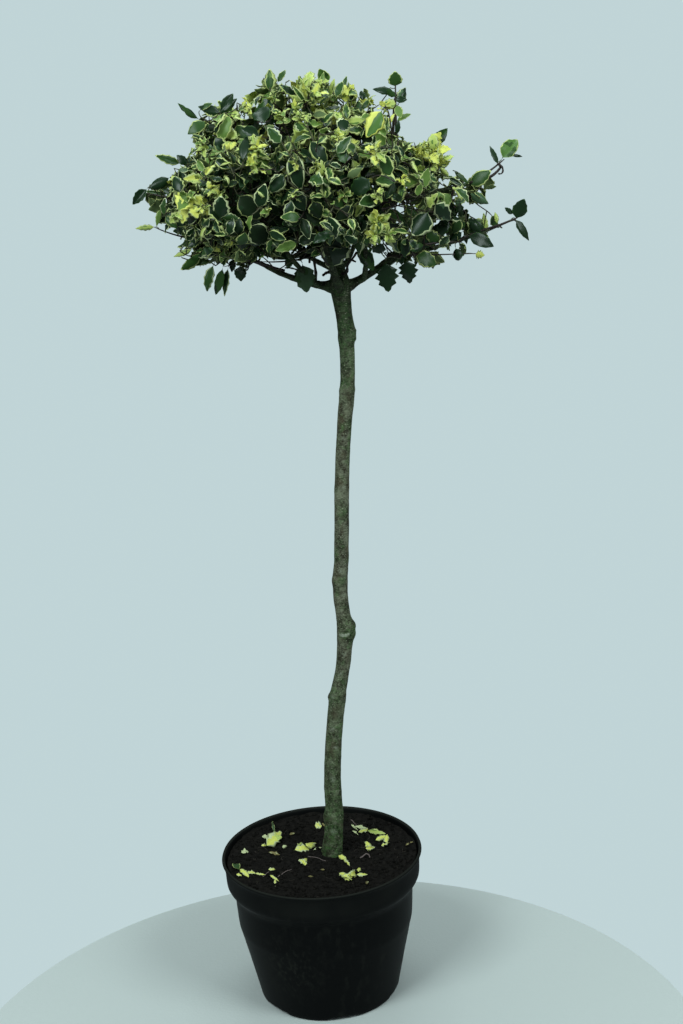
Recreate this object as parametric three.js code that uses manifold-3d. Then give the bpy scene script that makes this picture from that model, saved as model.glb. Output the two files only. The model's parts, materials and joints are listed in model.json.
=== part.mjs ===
// A variegated holly grown as a half-standard: one clear, leaning stem and a broad, flat-domed
// head, in a round nursery pot filled with compost.
// Millimetres, +Z up. The origin is the centre of the pot's flat underside, +X is to the right
// of the plant's best side and that side faces -Y.
import * as THREE from 'three';
import * as BufferGeometryUtils from 'three/addons/utils/BufferGeometryUtils.js';
import Module from 'manifold-3d';

const wasm = await Module();
wasm.setup();

// ---------------------------------------------------------------- driving dimensions

const GAP = 0.3; // clearance between pieces that touch

// Pot: a tapered wall with a narrow neck, a bulged collar and a rolled lip.
const POT_HEIGHT = 254;
const POT_LIP_RADIUS = 169.5;
const POT_LIP_WIDTH = 5;
const POT_WALL = 2.4;
const POT_BASE = 3;
const POT_SEGMENTS = 28;
const POT_NECK_ROW = 5; // the row of POT_OUTSIDE where the collar starts
const POT_OUTSIDE = [ // radius, height, from the foot to the underside of the lip
  [116, 0],
  [119, 2.5],
  [121.5, 15],
  [145.5, 127],
  [148.5, 133],
  [150.5, 168],
  [155, 178],
  [163.5, 190],
  [164, 221],
  [165.5, 245],
];
const NOTCH_COUNT = 6;
const NOTCH_HALF_WIDTH = 30;
const NOTCH_HEIGHT = 7;
const NOTCH_DEPTH = 14;
const NOTCH_TURN = 0.16; // of the first, from the front, in radians

// Compost: fills the pot to a little below the lip, level round the stem.
const SOIL_LEVEL = 232;
const SOIL_EDGE_DROP = 4;
const SOIL_LEVEL_RADIUS = 95;

// Trunk: horizontal sections carried up a leaning, gently wandering line.
const TRUNK_Y = 13.4;
const TRUNK_FOOT = SOIL_LEVEL + GAP;
const TRUNK_TOP = 1206;
const TRUNK_SIDES = 10;
const TRUNK_STEPS = 36;
const TRUNK_LINE = [ // height, centre x
  [232, 16],
  [300, 24.5],
  [373, 26],
  [445, 32.5],
  [524, 44],
  [585, 57],
  [640, 61.5],
  [690, 59],
  [724, 59],
  [762, 63.5],
  [857, 69.5],
  [939, 76],
  [1042, 88.5],
  [1115, 92],
  [1170, 88.5],
  [1206, 86],
];
const TRUNK_RADIUS = 11; // above the big knot
const TRUNK_LOWER_EXTRA = 1.75; // more up to the bend
const TRUNK_BEND = [520, 570];
const TRUNK_MIDDLE_EXTRA = 1.25; // more up to the big knot
const TRUNK_BIG_KNOT = [600, 680];
const FLARE_EXTRA = 4.75;
const FLARE_FADE = 60;
const KNOTS = [ // height, swell, spread, side (degrees from +X), how one-sided from 0 to 1
  { height: 308, swell: 2, spread: 11, side: 200, bias: 0.3 },
  { height: 524, swell: 1.4, spread: 9, side: 180, bias: 0.9 },
  { height: 630, swell: 3.2, spread: 15, side: 0, bias: 0.6 },
  { height: 650, swell: 4.6, spread: 8, side: 10, bias: 0.8 },
  { height: 723, swell: 1.4, spread: 8, side: 180, bias: 0.9 },
  { height: 1035, swell: 0.9, spread: 4, side: 0, bias: 0 },
  { height: 1122, swell: 3, spread: 10, side: 0, bias: 0.8 },
  { height: 1203, swell: 2.4, spread: 12, side: 0, bias: 0 },
];

// Limbs: each leaves the trunk at a height, or another limb at a share of its length, and
// runs to its end over a bowed line. The bow is how far the middle lies off the straight.
const LIMB_SIDES = 6;
const LIMB_STEP = 24;
const COLLAR_EXTRA = 0.35; // of the limb's own base radius
const COLLAR_LENGTH = 9;
const LIMBS = [
  {
    name: 'leader', from: 'trunk', at: TRUNK_TOP,
    end: [58, 15, 1382], bow: [4, 2, 0], radius: [10.6, 5.4],
  },
  {
    name: 'left', from: 'trunk', at: 1197,
    end: [-26, 11, 1237], bow: [0, 2, -7], radius: [5.6, 4],
  },
  {
    name: 'right', from: 'trunk', at: 1194,
    end: [222, 9, 1292], bow: [2, 2, -13], radius: [6, 4.2],
  },
  {
    name: 'front', from: 'trunk', at: 1196,
    end: [60, -66, 1290], bow: [2, -9, -14], radius: [5.6, 3.8],
  },
  {
    name: 'back', from: 'trunk', at: 1199,
    end: [66, 100, 1292], bow: [0, 9, -14], radius: [5.6, 3.8],
  },
  {
    name: 'left_outer', from: 'leader', at: 0.36,
    end: [-92, 8, 1302], bow: [-2, 0, -36], radius: [4, 2.8],
  },
  {
    name: 'left_upper', from: 'leader', at: 0.66,
    end: [-22, 22, 1392], bow: [-4, 0, -10], radius: [4.2, 3],
  },
  {
    name: 'top_right', from: 'leader', at: 0.84,
    end: [84, 18, 1368], bow: [5, 0, -3], radius: [4.2, 3.2],
  },
  {
    name: 'right_outer', from: 'leader', at: 0.7,
    end: [318, 10, 1348], bow: [0, 0, -10], radius: [4.8, 2.4],
  },
  {
    name: 'right_upper', from: 'right_outer', at: 0.46,
    end: [203, 6, 1352], bow: [3, 0, -3], radius: [3, 2.4],
  },
  {
    name: 'right_shoot', from: 'right_outer', at: 0.3,
    end: [180, 20, 1412], bow: [8, 2, -6], radius: [3, 2.2],
  },
  {
    name: 'right_lower', from: 'right', at: 0.62,
    end: [322, 8, 1272], bow: [0, 0, -6], radius: [4, 2.3],
  },
  {
    name: 'right_under', from: 'right', at: 0.42,
    end: [176, -22, 1240], bow: [0, -3, -3], radius: [3, 2.4],
  },
  {
    name: 'front_left', from: 'left', at: 0.3,
    end: [-8, -66, 1290], bow: [2, -8, -12], radius: [4.2, 3.2],
  },
  {
    name: 'front_right', from: 'right', at: 0.26,
    end: [124, -60, 1280], bow: [2, -8, -8], radius: [4.2, 3.2],
  },
  {
    name: 'back_left', from: 'back', at: 0.4,
    end: [-4, 104, 1296], bow: [-2, 6, -12], radius: [4.2, 3.2],
  },
  {
    name: 'back_right', from: 'back', at: 0.3,
    end: [124, 96, 1290], bow: [6, 6, -12], radius: [4.2, 3.2],
  },
  {
    name: 'low_front', from: 'front', at: 0.3,
    end: [68, -34, 1246], bow: [-1, -2, -4], radius: [3.2, 2.6],
  },
];

// Masses of leaves: each keeps to an ellipsoid, less the shares nearer to its neighbours.
// The lead points from its centre to the end of its leading shoot, in shares of its half size.
const MASSES = [
  {
    name: 'left_low', limb: 'left', twigs: 13, leaf: 0.84,
    centre: [-88, -5, 1262], half: [102, 96, 64], lead: [-0.8, -0.2, -0.1],
  },
  {
    name: 'left', limb: 'left_outer', twigs: 13, leaf: 0.95,
    centre: [-120, 10, 1352], half: [106, 102, 76], lead: [-0.95, 0, 0.1],
  },
  {
    name: 'left_upper', limb: 'left_upper', twigs: 13, leaf: 1,
    centre: [-70, 22, 1432], half: [104, 104, 78], lead: [-0.6, 0, 0.55],
  },
  {
    name: 'top', limb: 'leader', twigs: 13, leaf: 1,
    centre: [14, 15, 1434], half: [100, 104, 97], lead: [-0.2, 0, 0.85],
  },
  {
    name: 'top_right', limb: 'top_right', twigs: 13, leaf: 1,
    centre: [116, 18, 1424], half: [100, 104, 96], lead: [0.35, 0, 0.75],
  },
  {
    name: 'right_shoot', limb: 'right_shoot', twigs: 5, leaf: 0.66,
    centre: [186, 20, 1456], half: [40, 42, 66], lead: [0.1, 0, 0.9],
  },
  {
    name: 'right_upper', limb: 'right_upper', twigs: 9, leaf: 0.9,
    centre: [204, 4, 1378], half: [84, 98, 64], lead: [0.6, 0, 0.5],
  },
  {
    name: 'right', limb: 'right', twigs: 9, leaf: 0.86,
    centre: [268, 4, 1318], half: [86, 92, 70], lead: [0.75, 0, 0.1],
  },
  {
    name: 'right_tip', limb: 'right_outer', twigs: 4, leaf: 0.62,
    centre: [345, 10, 1378], half: [37, 36, 40], lead: [0.4, 0, 0.5],
  },
  {
    name: 'right_low', limb: 'right_under', twigs: 9, leaf: 0.8,
    centre: [216, -8, 1262], half: [92, 92, 62], lead: [0.8, -0.1, -0.1],
  },
  {
    name: 'right_low_tip', limb: 'right_lower', twigs: 4, leaf: 0.62,
    centre: [350, 6, 1276], half: [37, 38, 46], lead: [0.5, 0, 0.3],
  },
  {
    name: 'front_left', limb: 'front_left', twigs: 13, leaf: 1,
    centre: [-46, -108, 1336], half: [108, 108, 94], lead: [-0.6, -0.6, 0.1],
  },
  {
    name: 'front', limb: 'front', twigs: 13, leaf: 1,
    centre: [54, -128, 1342], half: [100, 110, 102], lead: [0, -0.8, 0.3],
  },
  {
    name: 'front_right', limb: 'front_right', twigs: 13, leaf: 1,
    centre: [150, -104, 1330], half: [104, 104, 94], lead: [0.6, -0.6, 0.1],
  },
  {
    name: 'back_left', limb: 'back_left', twigs: 9, leaf: 1,
    centre: [-46, 140, 1346], half: [108, 108, 96], lead: [-0.6, 0.6, 0.1],
  },
  {
    name: 'back', limb: 'back', twigs: 9, leaf: 1,
    centre: [56, 160, 1350], half: [100, 110, 102], lead: [0, 0.8, 0.3],
  },
  {
    name: 'back_right', limb: 'back_right', twigs: 9, leaf: 1,
    centre: [160, 134, 1340], half: [104, 104, 94], lead: [0.6, 0.6, 0.1],
  },
  {
    name: 'low_front', limb: 'low_front', twigs: 6, leaf: 0.8,
    centre: [44, -52, 1262], half: [84, 72, 52], lead: [-0.6, -0.6, -0.2],
  },
];

// Twigs and leaves.
const LEAD_REACH = 0.8; // how much of the way to its lead a leading shoot goes
const LEAD_BEND = 0.45; // how long it keeps its limb's heading
const LEAD_STEPS = 3;
const LEAD_TWIST = 1.8;
const LEAD_END_RADIUS = 2.6;
const TWIG_SIDES = 3;
const TWIG_STRETCH = [0.12, 0.92]; // of the leading shoot, where side twigs stand
const TWIG_ANGLE = [92, 44]; // off the leading shoot, at its foot and at its end, in degrees
const TWIG_LONGEST = 95;
const TWIG_SHORTEST = 10;
const TWIG_TRIES = 6;
const TWIG_END_ROOM = 0.35; // of a leaf, left past the twig's end
const TWIG_RADIUS = 0.52; // of the leading shoot's radius where it stands
const TWIG_END_RADIUS = 0.44;
const TWIG_SEAT = 0.24; // how far off the shoot's middle it is rooted
const TWIG_LEAN_RANGE = [0.85, 1.15]; // of its angle
const REACH_STEP = 3;
const LEAF_LENGTH = 58;
const LEAF_WIDTH = 40;
const LEAF_THICKNESS = 1.3;
const LEAF_SPACING = 14;
const LEAF_CLUSTER = 6; // spacing of the leaves crowded at a shoot's end
const LEAF_LEAN = [0.75, 1.25]; // off the shoot, in radians
const LEAF_END_LEAN = 0.12;
const LEAF_ROOT = 0.9; // how far the end leaf's root is sunk into its shoot
const LEAF_FOLD = 3.2; // how far its sides stand up
const LEAF_DROOP = 6; // how far its tip hangs down
const LEAF_STRETCH = { lead: 0.6, twig: 0.9 }; // of a shoot from its end, where leaves stand
const LEAF_FACING = { up: 0.8, onward: 0.55 };
const LEAF_SIZE_RANGE = [0.9, 1.1];
const LEAF_TRIES = 14;
const LEAF_TRY_SHRINK = 0.025; // each new try is that much smaller
const LIMB_CLEARANCE = 1.6;
const NEAR_MASS = 1.6; // limbs within that many half sizes are kept clear of
const SHORTEST_EDGE = 0.02;
const SEED = 320;

// Finishes.
const POT_COLOUR = 0x141516;
const SOIL_COLOUR = 0x1d1711;
const BARK_COLOUR = 0x5f5d42;
const LIMB_COLOUR = 0x4c4a36;
const LEAF_COLOUR = 0x4a6a3c;

// ---------------------------------------------------------------- helpers

const vector = (values) => new THREE.Vector3(...values);

// A seeded source of numbers from 0 to 1.
function makeRandom(seed) {
  let state = seed >>> 0;
  return () => {
    state = (state + 0x6d2b79f5) >>> 0;
    let mixed = Math.imul(state ^ (state >>> 15), state | 1);
    mixed = (mixed + Math.imul(mixed ^ (mixed >>> 7), mixed | 61)) ^ mixed;
    return ((mixed ^ (mixed >>> 14)) >>> 0) / 4294967296;
  };
}

// A smooth curve through [place, value] rows, read at one place.
function readCurve(rows, place) {
  let i = 0;
  while (i < rows.length - 2 && place > rows[i + 1][0]) i += 1;
  const slopeAt = (k) => {
    const before = rows[Math.max(k - 1, 0)];
    const after = rows[Math.min(k + 1, rows.length - 1)];
    return (after[1] - before[1]) / (after[0] - before[0]);
  };
  const span = rows[i + 1][0] - rows[i][0];
  const t = (place - rows[i][0]) / span;
  const start = (1 + 2 * t) * (1 - t) ** 2 * rows[i][1] + t * (1 - t) ** 2 * span * slopeAt(i);
  return start + t * t * (3 - 2 * t) * rows[i + 1][1] + t * t * (t - 1) * span * slopeAt(i + 1);
}

// A geometry as a manifold solid, turned right side out.
function toSolid(geometry) {
  const bare = geometry.clone();
  bare.deleteAttribute('normal');
  bare.deleteAttribute('uv');
  const merged = BufferGeometryUtils.mergeVertices(bare, 1e-4);
  const position = merged.getAttribute('position');
  const corner = (k) => new THREE.Vector3().fromBufferAttribute(position, k);
  const triangles = [];
  let volume = 0;
  for (let i = 0; i < merged.index.count; i += 3) {
    const [a, b, c] = [0, 1, 2].map((k) => merged.index.getX(i + k));
    if (a !== b && b !== c && c !== a) {
      triangles.push(a, b, c);
      volume += corner(a).dot(corner(b).cross(corner(c)));
    }
  }
  if (volume < 0) triangles.reverse();
  return new wasm.Manifold(new wasm.Mesh({
    numProp: 3,
    vertProperties: new Float32Array(position.array),
    triVerts: new Uint32Array(triangles),
  }));
}

// The largest single body of a solid: scraps go, and a sealed hollow is filled.
function mainBody(solid) {
  const bodies = solid.decompose();
  return bodies.reduce((best, body) => (body.volume() > best.volume() ? body : best));
}

// The shortest edge of a solid, which a clean joint keeps well over the vertices' rounding.
function shortestEdge(solid) {
  const { vertProperties, triVerts } = solid.getMesh();
  const corner = (k) => new THREE.Vector3().fromArray(vertProperties, 3 * triVerts[k]);
  let shortest = Infinity;
  for (let i = 0; i < triVerts.length; i += 3) {
    for (let k = 0; k < 3; k += 1) {
      shortest = Math.min(shortest, corner(i + k).distanceTo(corner(i + ((k + 1) % 3))));
    }
  }
  return shortest;
}

function toGeometry(solid) {
  const mesh = solid.getMesh();
  const geometry = new THREE.BufferGeometry();
  geometry.setAttribute('position', new THREE.BufferAttribute(mesh.vertProperties, 3));
  geometry.setIndex(new THREE.BufferAttribute(mesh.triVerts, 1));
  geometry.computeVertexNormals();
  return geometry;
}

const group = new THREE.Group();

function addNode(name, solid, color, roughness) {
  const material = new THREE.MeshStandardMaterial({ color, roughness, metalness: 0 });
  const mesh = new THREE.Mesh(toGeometry(solid), material);
  mesh.name = name;
  group.add(mesh);
}

// ---------------------------------------------------------------- pot and compost

function turned(profile) {
  const points = profile.map(([radius, height]) => new THREE.Vector2(radius, height));
  return toSolid(new THREE.LatheGeometry(points, POT_SEGMENTS).rotateX(Math.PI / 2));
}

function makePot() {
  const lip = [
    [POT_LIP_RADIUS, POT_HEIGHT - 6],
    [POT_LIP_RADIUS - 1.2, POT_HEIGHT],
    [POT_LIP_RADIUS - POT_LIP_WIDTH, POT_HEIGHT],
  ];
  const inside = POT_OUTSIDE.slice(2).map(([radius, height]) => [radius - POT_WALL, height]);
  const floor = [[POT_OUTSIDE[1][0] - POT_WALL, POT_BASE], [0, POT_BASE]];
  const profile = [[0, 0], ...POT_OUTSIDE, ...lip, ...inside.reverse(), ...floor];
  let pot = turned(profile);
  const footRadius = POT_OUTSIDE[1][0];
  for (let i = 0; i < NOTCH_COUNT; i += 1) {
    const arch = new THREE.CylinderGeometry(1, 1, 2 * NOTCH_DEPTH, 10);
    arch.scale(NOTCH_HALF_WIDTH, 1, NOTCH_HEIGHT);
    arch.translate(0, -footRadius, 0);
    arch.rotateZ((i * 2 * Math.PI) / NOTCH_COUNT + NOTCH_TURN);
    pot = pot.subtract(toSolid(arch));
  }
  return mainBody(pot);
}

function makeSoil() {
  const clear = POT_WALL + GAP;
  const edgeLevel = SOIL_LEVEL - SOIL_EDGE_DROP;
  const bends = [POT_OUTSIDE[2], POT_OUTSIDE[POT_NECK_ROW]];
  const wall = bends.map(([radius, height]) => [radius - clear, height]);
  const edgeRadius = readCurve(POT_OUTSIDE.slice(-2).map(([r, h]) => [h, r]), edgeLevel) - clear;
  const foot = [POT_OUTSIDE[0][0] - NOTCH_DEPTH, POT_BASE + GAP];
  const top = [[edgeRadius, edgeLevel], [SOIL_LEVEL_RADIUS, SOIL_LEVEL], [0, SOIL_LEVEL]];
  return turned([[0, POT_BASE + GAP], foot, ...wall, ...top]);
}

// ---------------------------------------------------------------- trunk

function trunkRadius(height, angle) {
  const { smoothstep, degToRad } = THREE.MathUtils;
  let radius = TRUNK_RADIUS;
  radius += TRUNK_LOWER_EXTRA * (1 - smoothstep(height, ...TRUNK_BEND));
  radius += TRUNK_MIDDLE_EXTRA * (1 - smoothstep(height, ...TRUNK_BIG_KNOT));
  radius += FLARE_EXTRA * Math.exp((SOIL_LEVEL - height) / FLARE_FADE);
  for (const { height: middle, swell, spread, side, bias } of KNOTS) {
    const facing = (1 + Math.cos(angle - degToRad(side))) / 2;
    radius += swell * Math.exp(-(((height - middle) / spread) ** 2)) * (1 - bias + bias * facing);
  }
  return radius;
}

// The steps close up where a knot swells the trunk.
function makeTrunk(grow = 0) {
  const shape = new THREE.CylinderGeometry(1, 1, 1, TRUNK_SIDES, TRUNK_STEPS);
  const position = shape.getAttribute('position');
  for (let i = 0; i < position.count; i += 1) {
    const share = position.getY(i) + 0.5;
    const height = TRUNK_FOOT - grow + share * (TRUNK_TOP - TRUNK_FOOT + 2 * grow);
    const across = position.getX(i);
    const deep = -position.getZ(i);
    const size = Math.hypot(across, deep) > 0.5 ? trunkRadius(height, Math.atan2(deep, across)) + grow : 0;
    position.setXYZ(i, readCurve(TRUNK_LINE, height) + across * size, TRUNK_Y + deep * size, height);
  }
  return toSolid(shape);
}

// ---------------------------------------------------------------- limbs

const limbs = new Map();

function layLimb({ name, from, at, end, bow, radius }) {
  const start = limbs.has(from)
    ? limbs.get(from).curve.getPoint(at)
    : new THREE.Vector3(readCurve(TRUNK_LINE, at), TRUNK_Y, at);
  if (at === TRUNK_TOP) start.z += GAP;
  const control = start.clone().add(vector(end)).multiplyScalar(0.5).addScaledVector(vector(bow), 2);
  const curve = new THREE.QuadraticBezierCurve3(start, control, vector(end));
  const radiusAt = (t) => {
    const collar = COLLAR_EXTRA * radius[0] * Math.exp((-t * curve.getLength()) / COLLAR_LENGTH);
    return THREE.MathUtils.lerp(radius[0], radius[1], t) + (at === TRUNK_TOP ? 0 : collar);
  };
  limbs.set(name, { name, curve, radiusAt });
}

// A cylinder bent along a curve, its radius read along the way.
function bentCylinder(curve, radiusAt, sides, steps, grow = 0, turnAt = () => 0) {
  const shape = new THREE.CylinderGeometry(1, 1, 1, sides, steps);
  const position = shape.getAttribute('position');
  const frames = curve.computeFrenetFrames(steps);
  for (let i = 0; i < position.count; i += 1) {
    const k = Math.round((position.getY(i) + 0.5) * steps);
    const point = curve.getPointAt(k / steps);
    const size = radiusAt(k / steps) + grow;
    if (k === 0) point.addScaledVector(frames.tangents[0], -grow);
    if (k === steps) point.addScaledVector(frames.tangents[steps], grow);
    const rim = new THREE.Vector2(position.getX(i), position.getZ(i));
    rim.rotateAround(new THREE.Vector2(), -turnAt(k / steps)).multiplyScalar(size);
    point.addScaledVector(frames.normals[k], rim.x).addScaledVector(frames.binormals[k], -rim.y);
    position.setXYZ(i, point.x, point.y, point.z);
  }
  return shape;
}

function limbSolid({ curve, radiusAt }, grow = 0) {
  const steps = Math.max(3, Math.round(curve.getLength() / LIMB_STEP));
  return toSolid(bentCylinder(curve, radiusAt, LIMB_SIDES, steps, grow));
}

// ---------------------------------------------------------------- masses of leaves

const massSize = ({ half }) => (half[0] + half[1] + half[2]) / 3;

// Whether a point lies in a mass's ellipsoid, and nearer to it than to any neighbour.
function inSpace(mass, point) {
  const centre = vector(mass.centre);
  const scaled = point.clone().sub(centre).divide(vector(mass.half));
  if (scaled.length() > 1) return false;
  return MASSES.every((other) => {
    if (other === mass) return true;
    const away = vector(other.centre).sub(centre);
    const distance = away.length();
    const border = (distance + (massSize(mass) ** 2 - massSize(other) ** 2) / distance) / 2;
    return point.clone().sub(centre).dot(away) / distance < border - GAP;
  });
}

// Points down the middle of the trunk's top and of every limb, each with the radius there.
function limbPoints() {
  const points = [];
  for (let height = TRUNK_TOP - 90; height <= TRUNK_TOP; height += 6) {
    const point = new THREE.Vector3(readCurve(TRUNK_LINE, height), TRUNK_Y, height);
    points.push({ point, radius: trunkRadius(height, 0) });
  }
  for (const { curve, radiusAt } of limbs.values()) {
    const steps = Math.ceil(curve.getLength() / 4);
    for (let k = 0; k <= steps; k += 1) {
      points.push({ point: curve.getPointAt(k / steps), radius: radiusAt(k / steps) });
    }
  }
  return points;
}

// Whether a triangle keeps clear of the trunk and the limbs. A thin one may be a line.
function isClear(obstacles, corners, thickness) {
  const triangle = new THREE.Triangle(...corners);
  const nearest = new THREE.Vector3();
  return obstacles.every(({ point, radius }) => {
    triangle.closestPointToPoint(point, nearest);
    return nearest.distanceTo(point) > radius + thickness + LIMB_CLEARANCE;
  });
}

// The leading shoot, from the end of its limb to the far side of the mass.
function leadingShoot(mass, random) {
  const limb = limbs.get(mass.limb);
  const heading = limb.curve.getTangent(1);
  const start = limb.curve.getPoint(1).addScaledVector(heading, GAP);
  const ahead = vector(mass.half).multiply(vector(mass.lead)).multiplyScalar(LEAD_REACH);
  const end = vector(mass.centre).add(ahead);
  const control = start.clone().addScaledVector(heading, start.distanceTo(end) * LEAD_BEND);
  const curve = new THREE.QuadraticBezierCurve3(start, control, end);
  const radius = [limb.radiusAt(1), LEAD_END_RADIUS];
  const shoot = { curve, radius, turn: 2 * Math.PI * random(), twist: LEAD_TWIST, steps: LEAD_STEPS };
  return { ...shoot, solid: shootSolid(shoot) };
}

// Side twigs stand on the faces of the leading shoot, each reaching as far as the mass's
// space lets it, with room for the leaf at its end. One that would leave the space, touch a
// limb or cross another twig is tried on the next face, and in the end skipped.
function sideTwigs(mass, lead, obstacles, random) {
  const twigs = [];
  let fused = lead.solid;
  for (let k = 0; k < mass.twigs; k += 1) {
    const along = THREE.MathUtils.lerp(...TWIG_STRETCH, (k + 0.5 * random()) / mass.twigs);
    for (let turn = 0; turn < TWIG_TRIES; turn += 1) {
      const twig = sideTwig(mass, lead, along, k + turn, obstacles, random);
      if (!twig || twigs.some(({ solid }) => !solid.intersect(twig.solid).isEmpty())) continue;
      const joined = fused.add(twig.solid);
      if (shortestEdge(joined) < SHORTEST_EDGE) continue;
      fused = joined;
      twigs.push(twig);
      break;
    }
  }
  return twigs;
}

// One twig on a face of the leading shoot, or nothing where it has no room.
function sideTwig(mass, lead, along, face, obstacles, random) {
  const { degToRad, lerp } = THREE.MathUtils;
  const thickness = lerp(...lead.radius, along);
  const radius = [TWIG_RADIUS * thickness, TWIG_END_RADIUS * thickness];
  const out = faceOf(lead, along, face);
  const lean = degToRad(lerp(...TWIG_ANGLE, along)) * lerp(...TWIG_LEAN_RANGE, random());
  const heading = leaning(lead.curve.getTangentAt(along), out, lean);
  const start = lead.curve.getPointAt(along).addScaledVector(out, TWIG_SEAT * thickness);
  const room = reachOf(mass, start, heading) - LEAF_LENGTH * mass.leaf * TWIG_END_ROOM;
  const length = Math.min(TWIG_LONGEST, room);
  const end = start.clone().addScaledVector(heading, length);
  const line = [start.clone().lerp(end, 0.2), start.clone().lerp(end, 0.5), end];
  if (length < TWIG_SHORTEST || !inSpace(mass, end)) return null;
  if (!isClear(obstacles, line, radius[0])) return null;
  const curve = new THREE.LineCurve3(start, end);
  const shoot = { curve, radius, turn: 2 * Math.PI * random(), twist: 0, steps: 1 };
  return { ...shoot, solid: shootSolid(shoot) };
}

// A direction leaning off an axis, by an angle, to one side.
function leaning(axis, side, angle) {
  return axis.clone().multiplyScalar(Math.cos(angle)).addScaledVector(side, Math.sin(angle));
}

// How far a mass's space goes on from a point in a direction.
function reachOf(mass, start, heading) {
  const probe = start.clone();
  let reach = 0;
  while (reach < TWIG_LONGEST + LEAF_LENGTH && inSpace(mass, probe)) {
    reach += REACH_STEP;
    probe.addScaledVector(heading, REACH_STEP);
  }
  return reach;
}

// A shoot is three-sided. Its turn sets which ways its faces look, and its twist winds them.
function shootSolid({ curve, radius, turn, twist, steps }) {
  const radiusAt = (t) => THREE.MathUtils.lerp(radius[0], radius[1], t);
  return toSolid(bentCylinder(curve, radiusAt, TWIG_SIDES, steps, 0, (t) => turn + twist * t));
}

// Which way one face of a shoot looks, at a share of its length.
function faceOf({ curve, turn, twist, steps }, share, face) {
  const frames = curve.computeFrenetFrames(steps);
  const k = Math.min(steps, Math.round(share * steps));
  const angle = turn + twist * share + ((2 * face + 1) * Math.PI) / TWIG_SIDES;
  const across = frames.normals[k].clone().multiplyScalar(Math.sin(angle));
  return across.addScaledVector(frames.binormals[k], -Math.cos(angle));
}

// A leaf is a folded lens: an octahedron with its corners at the leaf's root, tip, two
// sides and the middle of its upper and lower faces.
function leafCorners(root, heading, facing, length) {
  const side = heading.clone().cross(facing).normalize();
  const up = side.clone().cross(heading).normalize();
  const scale = length / LEAF_LENGTH;
  const place = (along, across, height) => root.clone()
    .addScaledVector(heading, along * length)
    .addScaledVector(side, across * scale)
    .addScaledVector(up, height * scale);
  return {
    right: place(0.5, LEAF_WIDTH / 2, LEAF_FOLD),
    left: place(0.5, -LEAF_WIDTH / 2, LEAF_FOLD),
    top: place(0.48, 0, LEAF_THICKNESS / 2),
    bottom: place(0.48, 0, -LEAF_THICKNESS / 2),
    tip: place(1, 0, -LEAF_DROOP),
    root,
  };
}

function leafSolid(corners) {
  const shape = new THREE.OctahedronGeometry(1);
  const position = shape.getAttribute('position');
  const places = [corners.right, corners.left, corners.top, corners.bottom, corners.tip, corners.root];
  for (let i = 0; i < position.count; i += 1) {
    const axis = [position.getX(i), position.getY(i), position.getZ(i)];
    const k = axis.findIndex((value) => Math.abs(value) > 0.5);
    const place = places[2 * k + (axis[k] > 0 ? 0 : 1)];
    position.setXYZ(i, place.x, place.y, place.z);
  }
  return toSolid(shape);
}

// Leaves stand round a shoot, each on one of its faces and one straight on at its end. One
// that would leave the mass's space, touch a limb or cross another leaf or twig is tried on
// the next face, and in the end skipped.
function leavesOn(shoot, stretch, mass, obstacles, others, random) {
  const leaves = [];
  const length = shoot.curve.getLength();
  let fused = shoot.solid;
  let back = LEAF_ROOT;
  for (let k = 0; back < length * stretch; k += 1) {
    const along = 1 - back / length;
    back += k === 0 ? LEAF_CLUSTER : LEAF_SPACING;
    for (let turn = 0; turn < LEAF_TRIES; turn += 1) {
      const lean = k === 0 ? LEAF_END_LEAN * random() : THREE.MathUtils.lerp(...LEAF_LEAN, random());
      const size = mass.leaf * (1 - LEAF_TRY_SHRINK * turn);
      const corners = leafOn(shoot, along, k + turn, lean, size, random);
      if (!leafFits(mass, corners, obstacles)) continue;
      const leaf = leafSolid(corners);
      if ([...others, ...leaves].some((other) => !other.intersect(leaf).isEmpty())) continue;
      const joined = fused.add(leaf);
      if (shortestEdge(joined) < SHORTEST_EDGE) continue;
      fused = joined;
      leaves.push(leaf);
      break;
    }
  }
  return leaves;
}

// One leaf's corners, on a face of a shoot, its upper side turned up and to the shoot's end.
function leafOn(shoot, along, face, lean, size, random) {
  const axis = shoot.curve.getTangentAt(along);
  const heading = leaning(axis, faceOf(shoot, along, face), lean);
  const facing = new THREE.Vector3(random() - 0.5, random() - 0.5, LEAF_FACING.up);
  facing.addScaledVector(axis, LEAF_FACING.onward);
  const length = LEAF_LENGTH * size * THREE.MathUtils.lerp(...LEAF_SIZE_RANGE, random());
  return leafCorners(shoot.curve.getPointAt(along), heading, facing, length);
}

function leafFits(mass, corners, obstacles) {
  const { root, tip, left, right } = corners;
  if (!Object.values(corners).every((corner) => inSpace(mass, corner))) return false;
  return [[root, left, tip], [root, right, tip]].every((half) => isClear(obstacles, half, LEAF_THICKNESS));
}

function makeMass(mass, seed, allObstacles) {
  const random = makeRandom(seed);
  const lead = leadingShoot(mass, random);
  const obstacles = allObstacles.filter(({ point }) => {
    const scaled = point.clone().sub(vector(mass.centre)).divide(vector(mass.half));
    return scaled.length() < NEAR_MASS;
  });
  const twigs = sideTwigs(mass, lead, obstacles, random);
  const solids = twigs.map(({ solid }) => solid);
  const leaves = leavesOn(lead, LEAF_STRETCH.lead, mass, obstacles, solids, random);
  for (const twig of twigs) {
    const others = [lead.solid, ...solids.filter((solid) => solid !== twig.solid), ...leaves];
    leaves.push(...leavesOn(twig, LEAF_STRETCH.twig, mass, obstacles, others, random));
  }
  return mainBody(wasm.Manifold.union([lead.solid, ...solids, ...leaves]));
}

// ---------------------------------------------------------------- assembly

addNode('pot', makePot(), POT_COLOUR, 0.42);
addNode('compost', makeSoil(), SOIL_COLOUR, 0.95);
addNode('trunk', makeTrunk(), BARK_COLOUR, 0.85);

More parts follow.
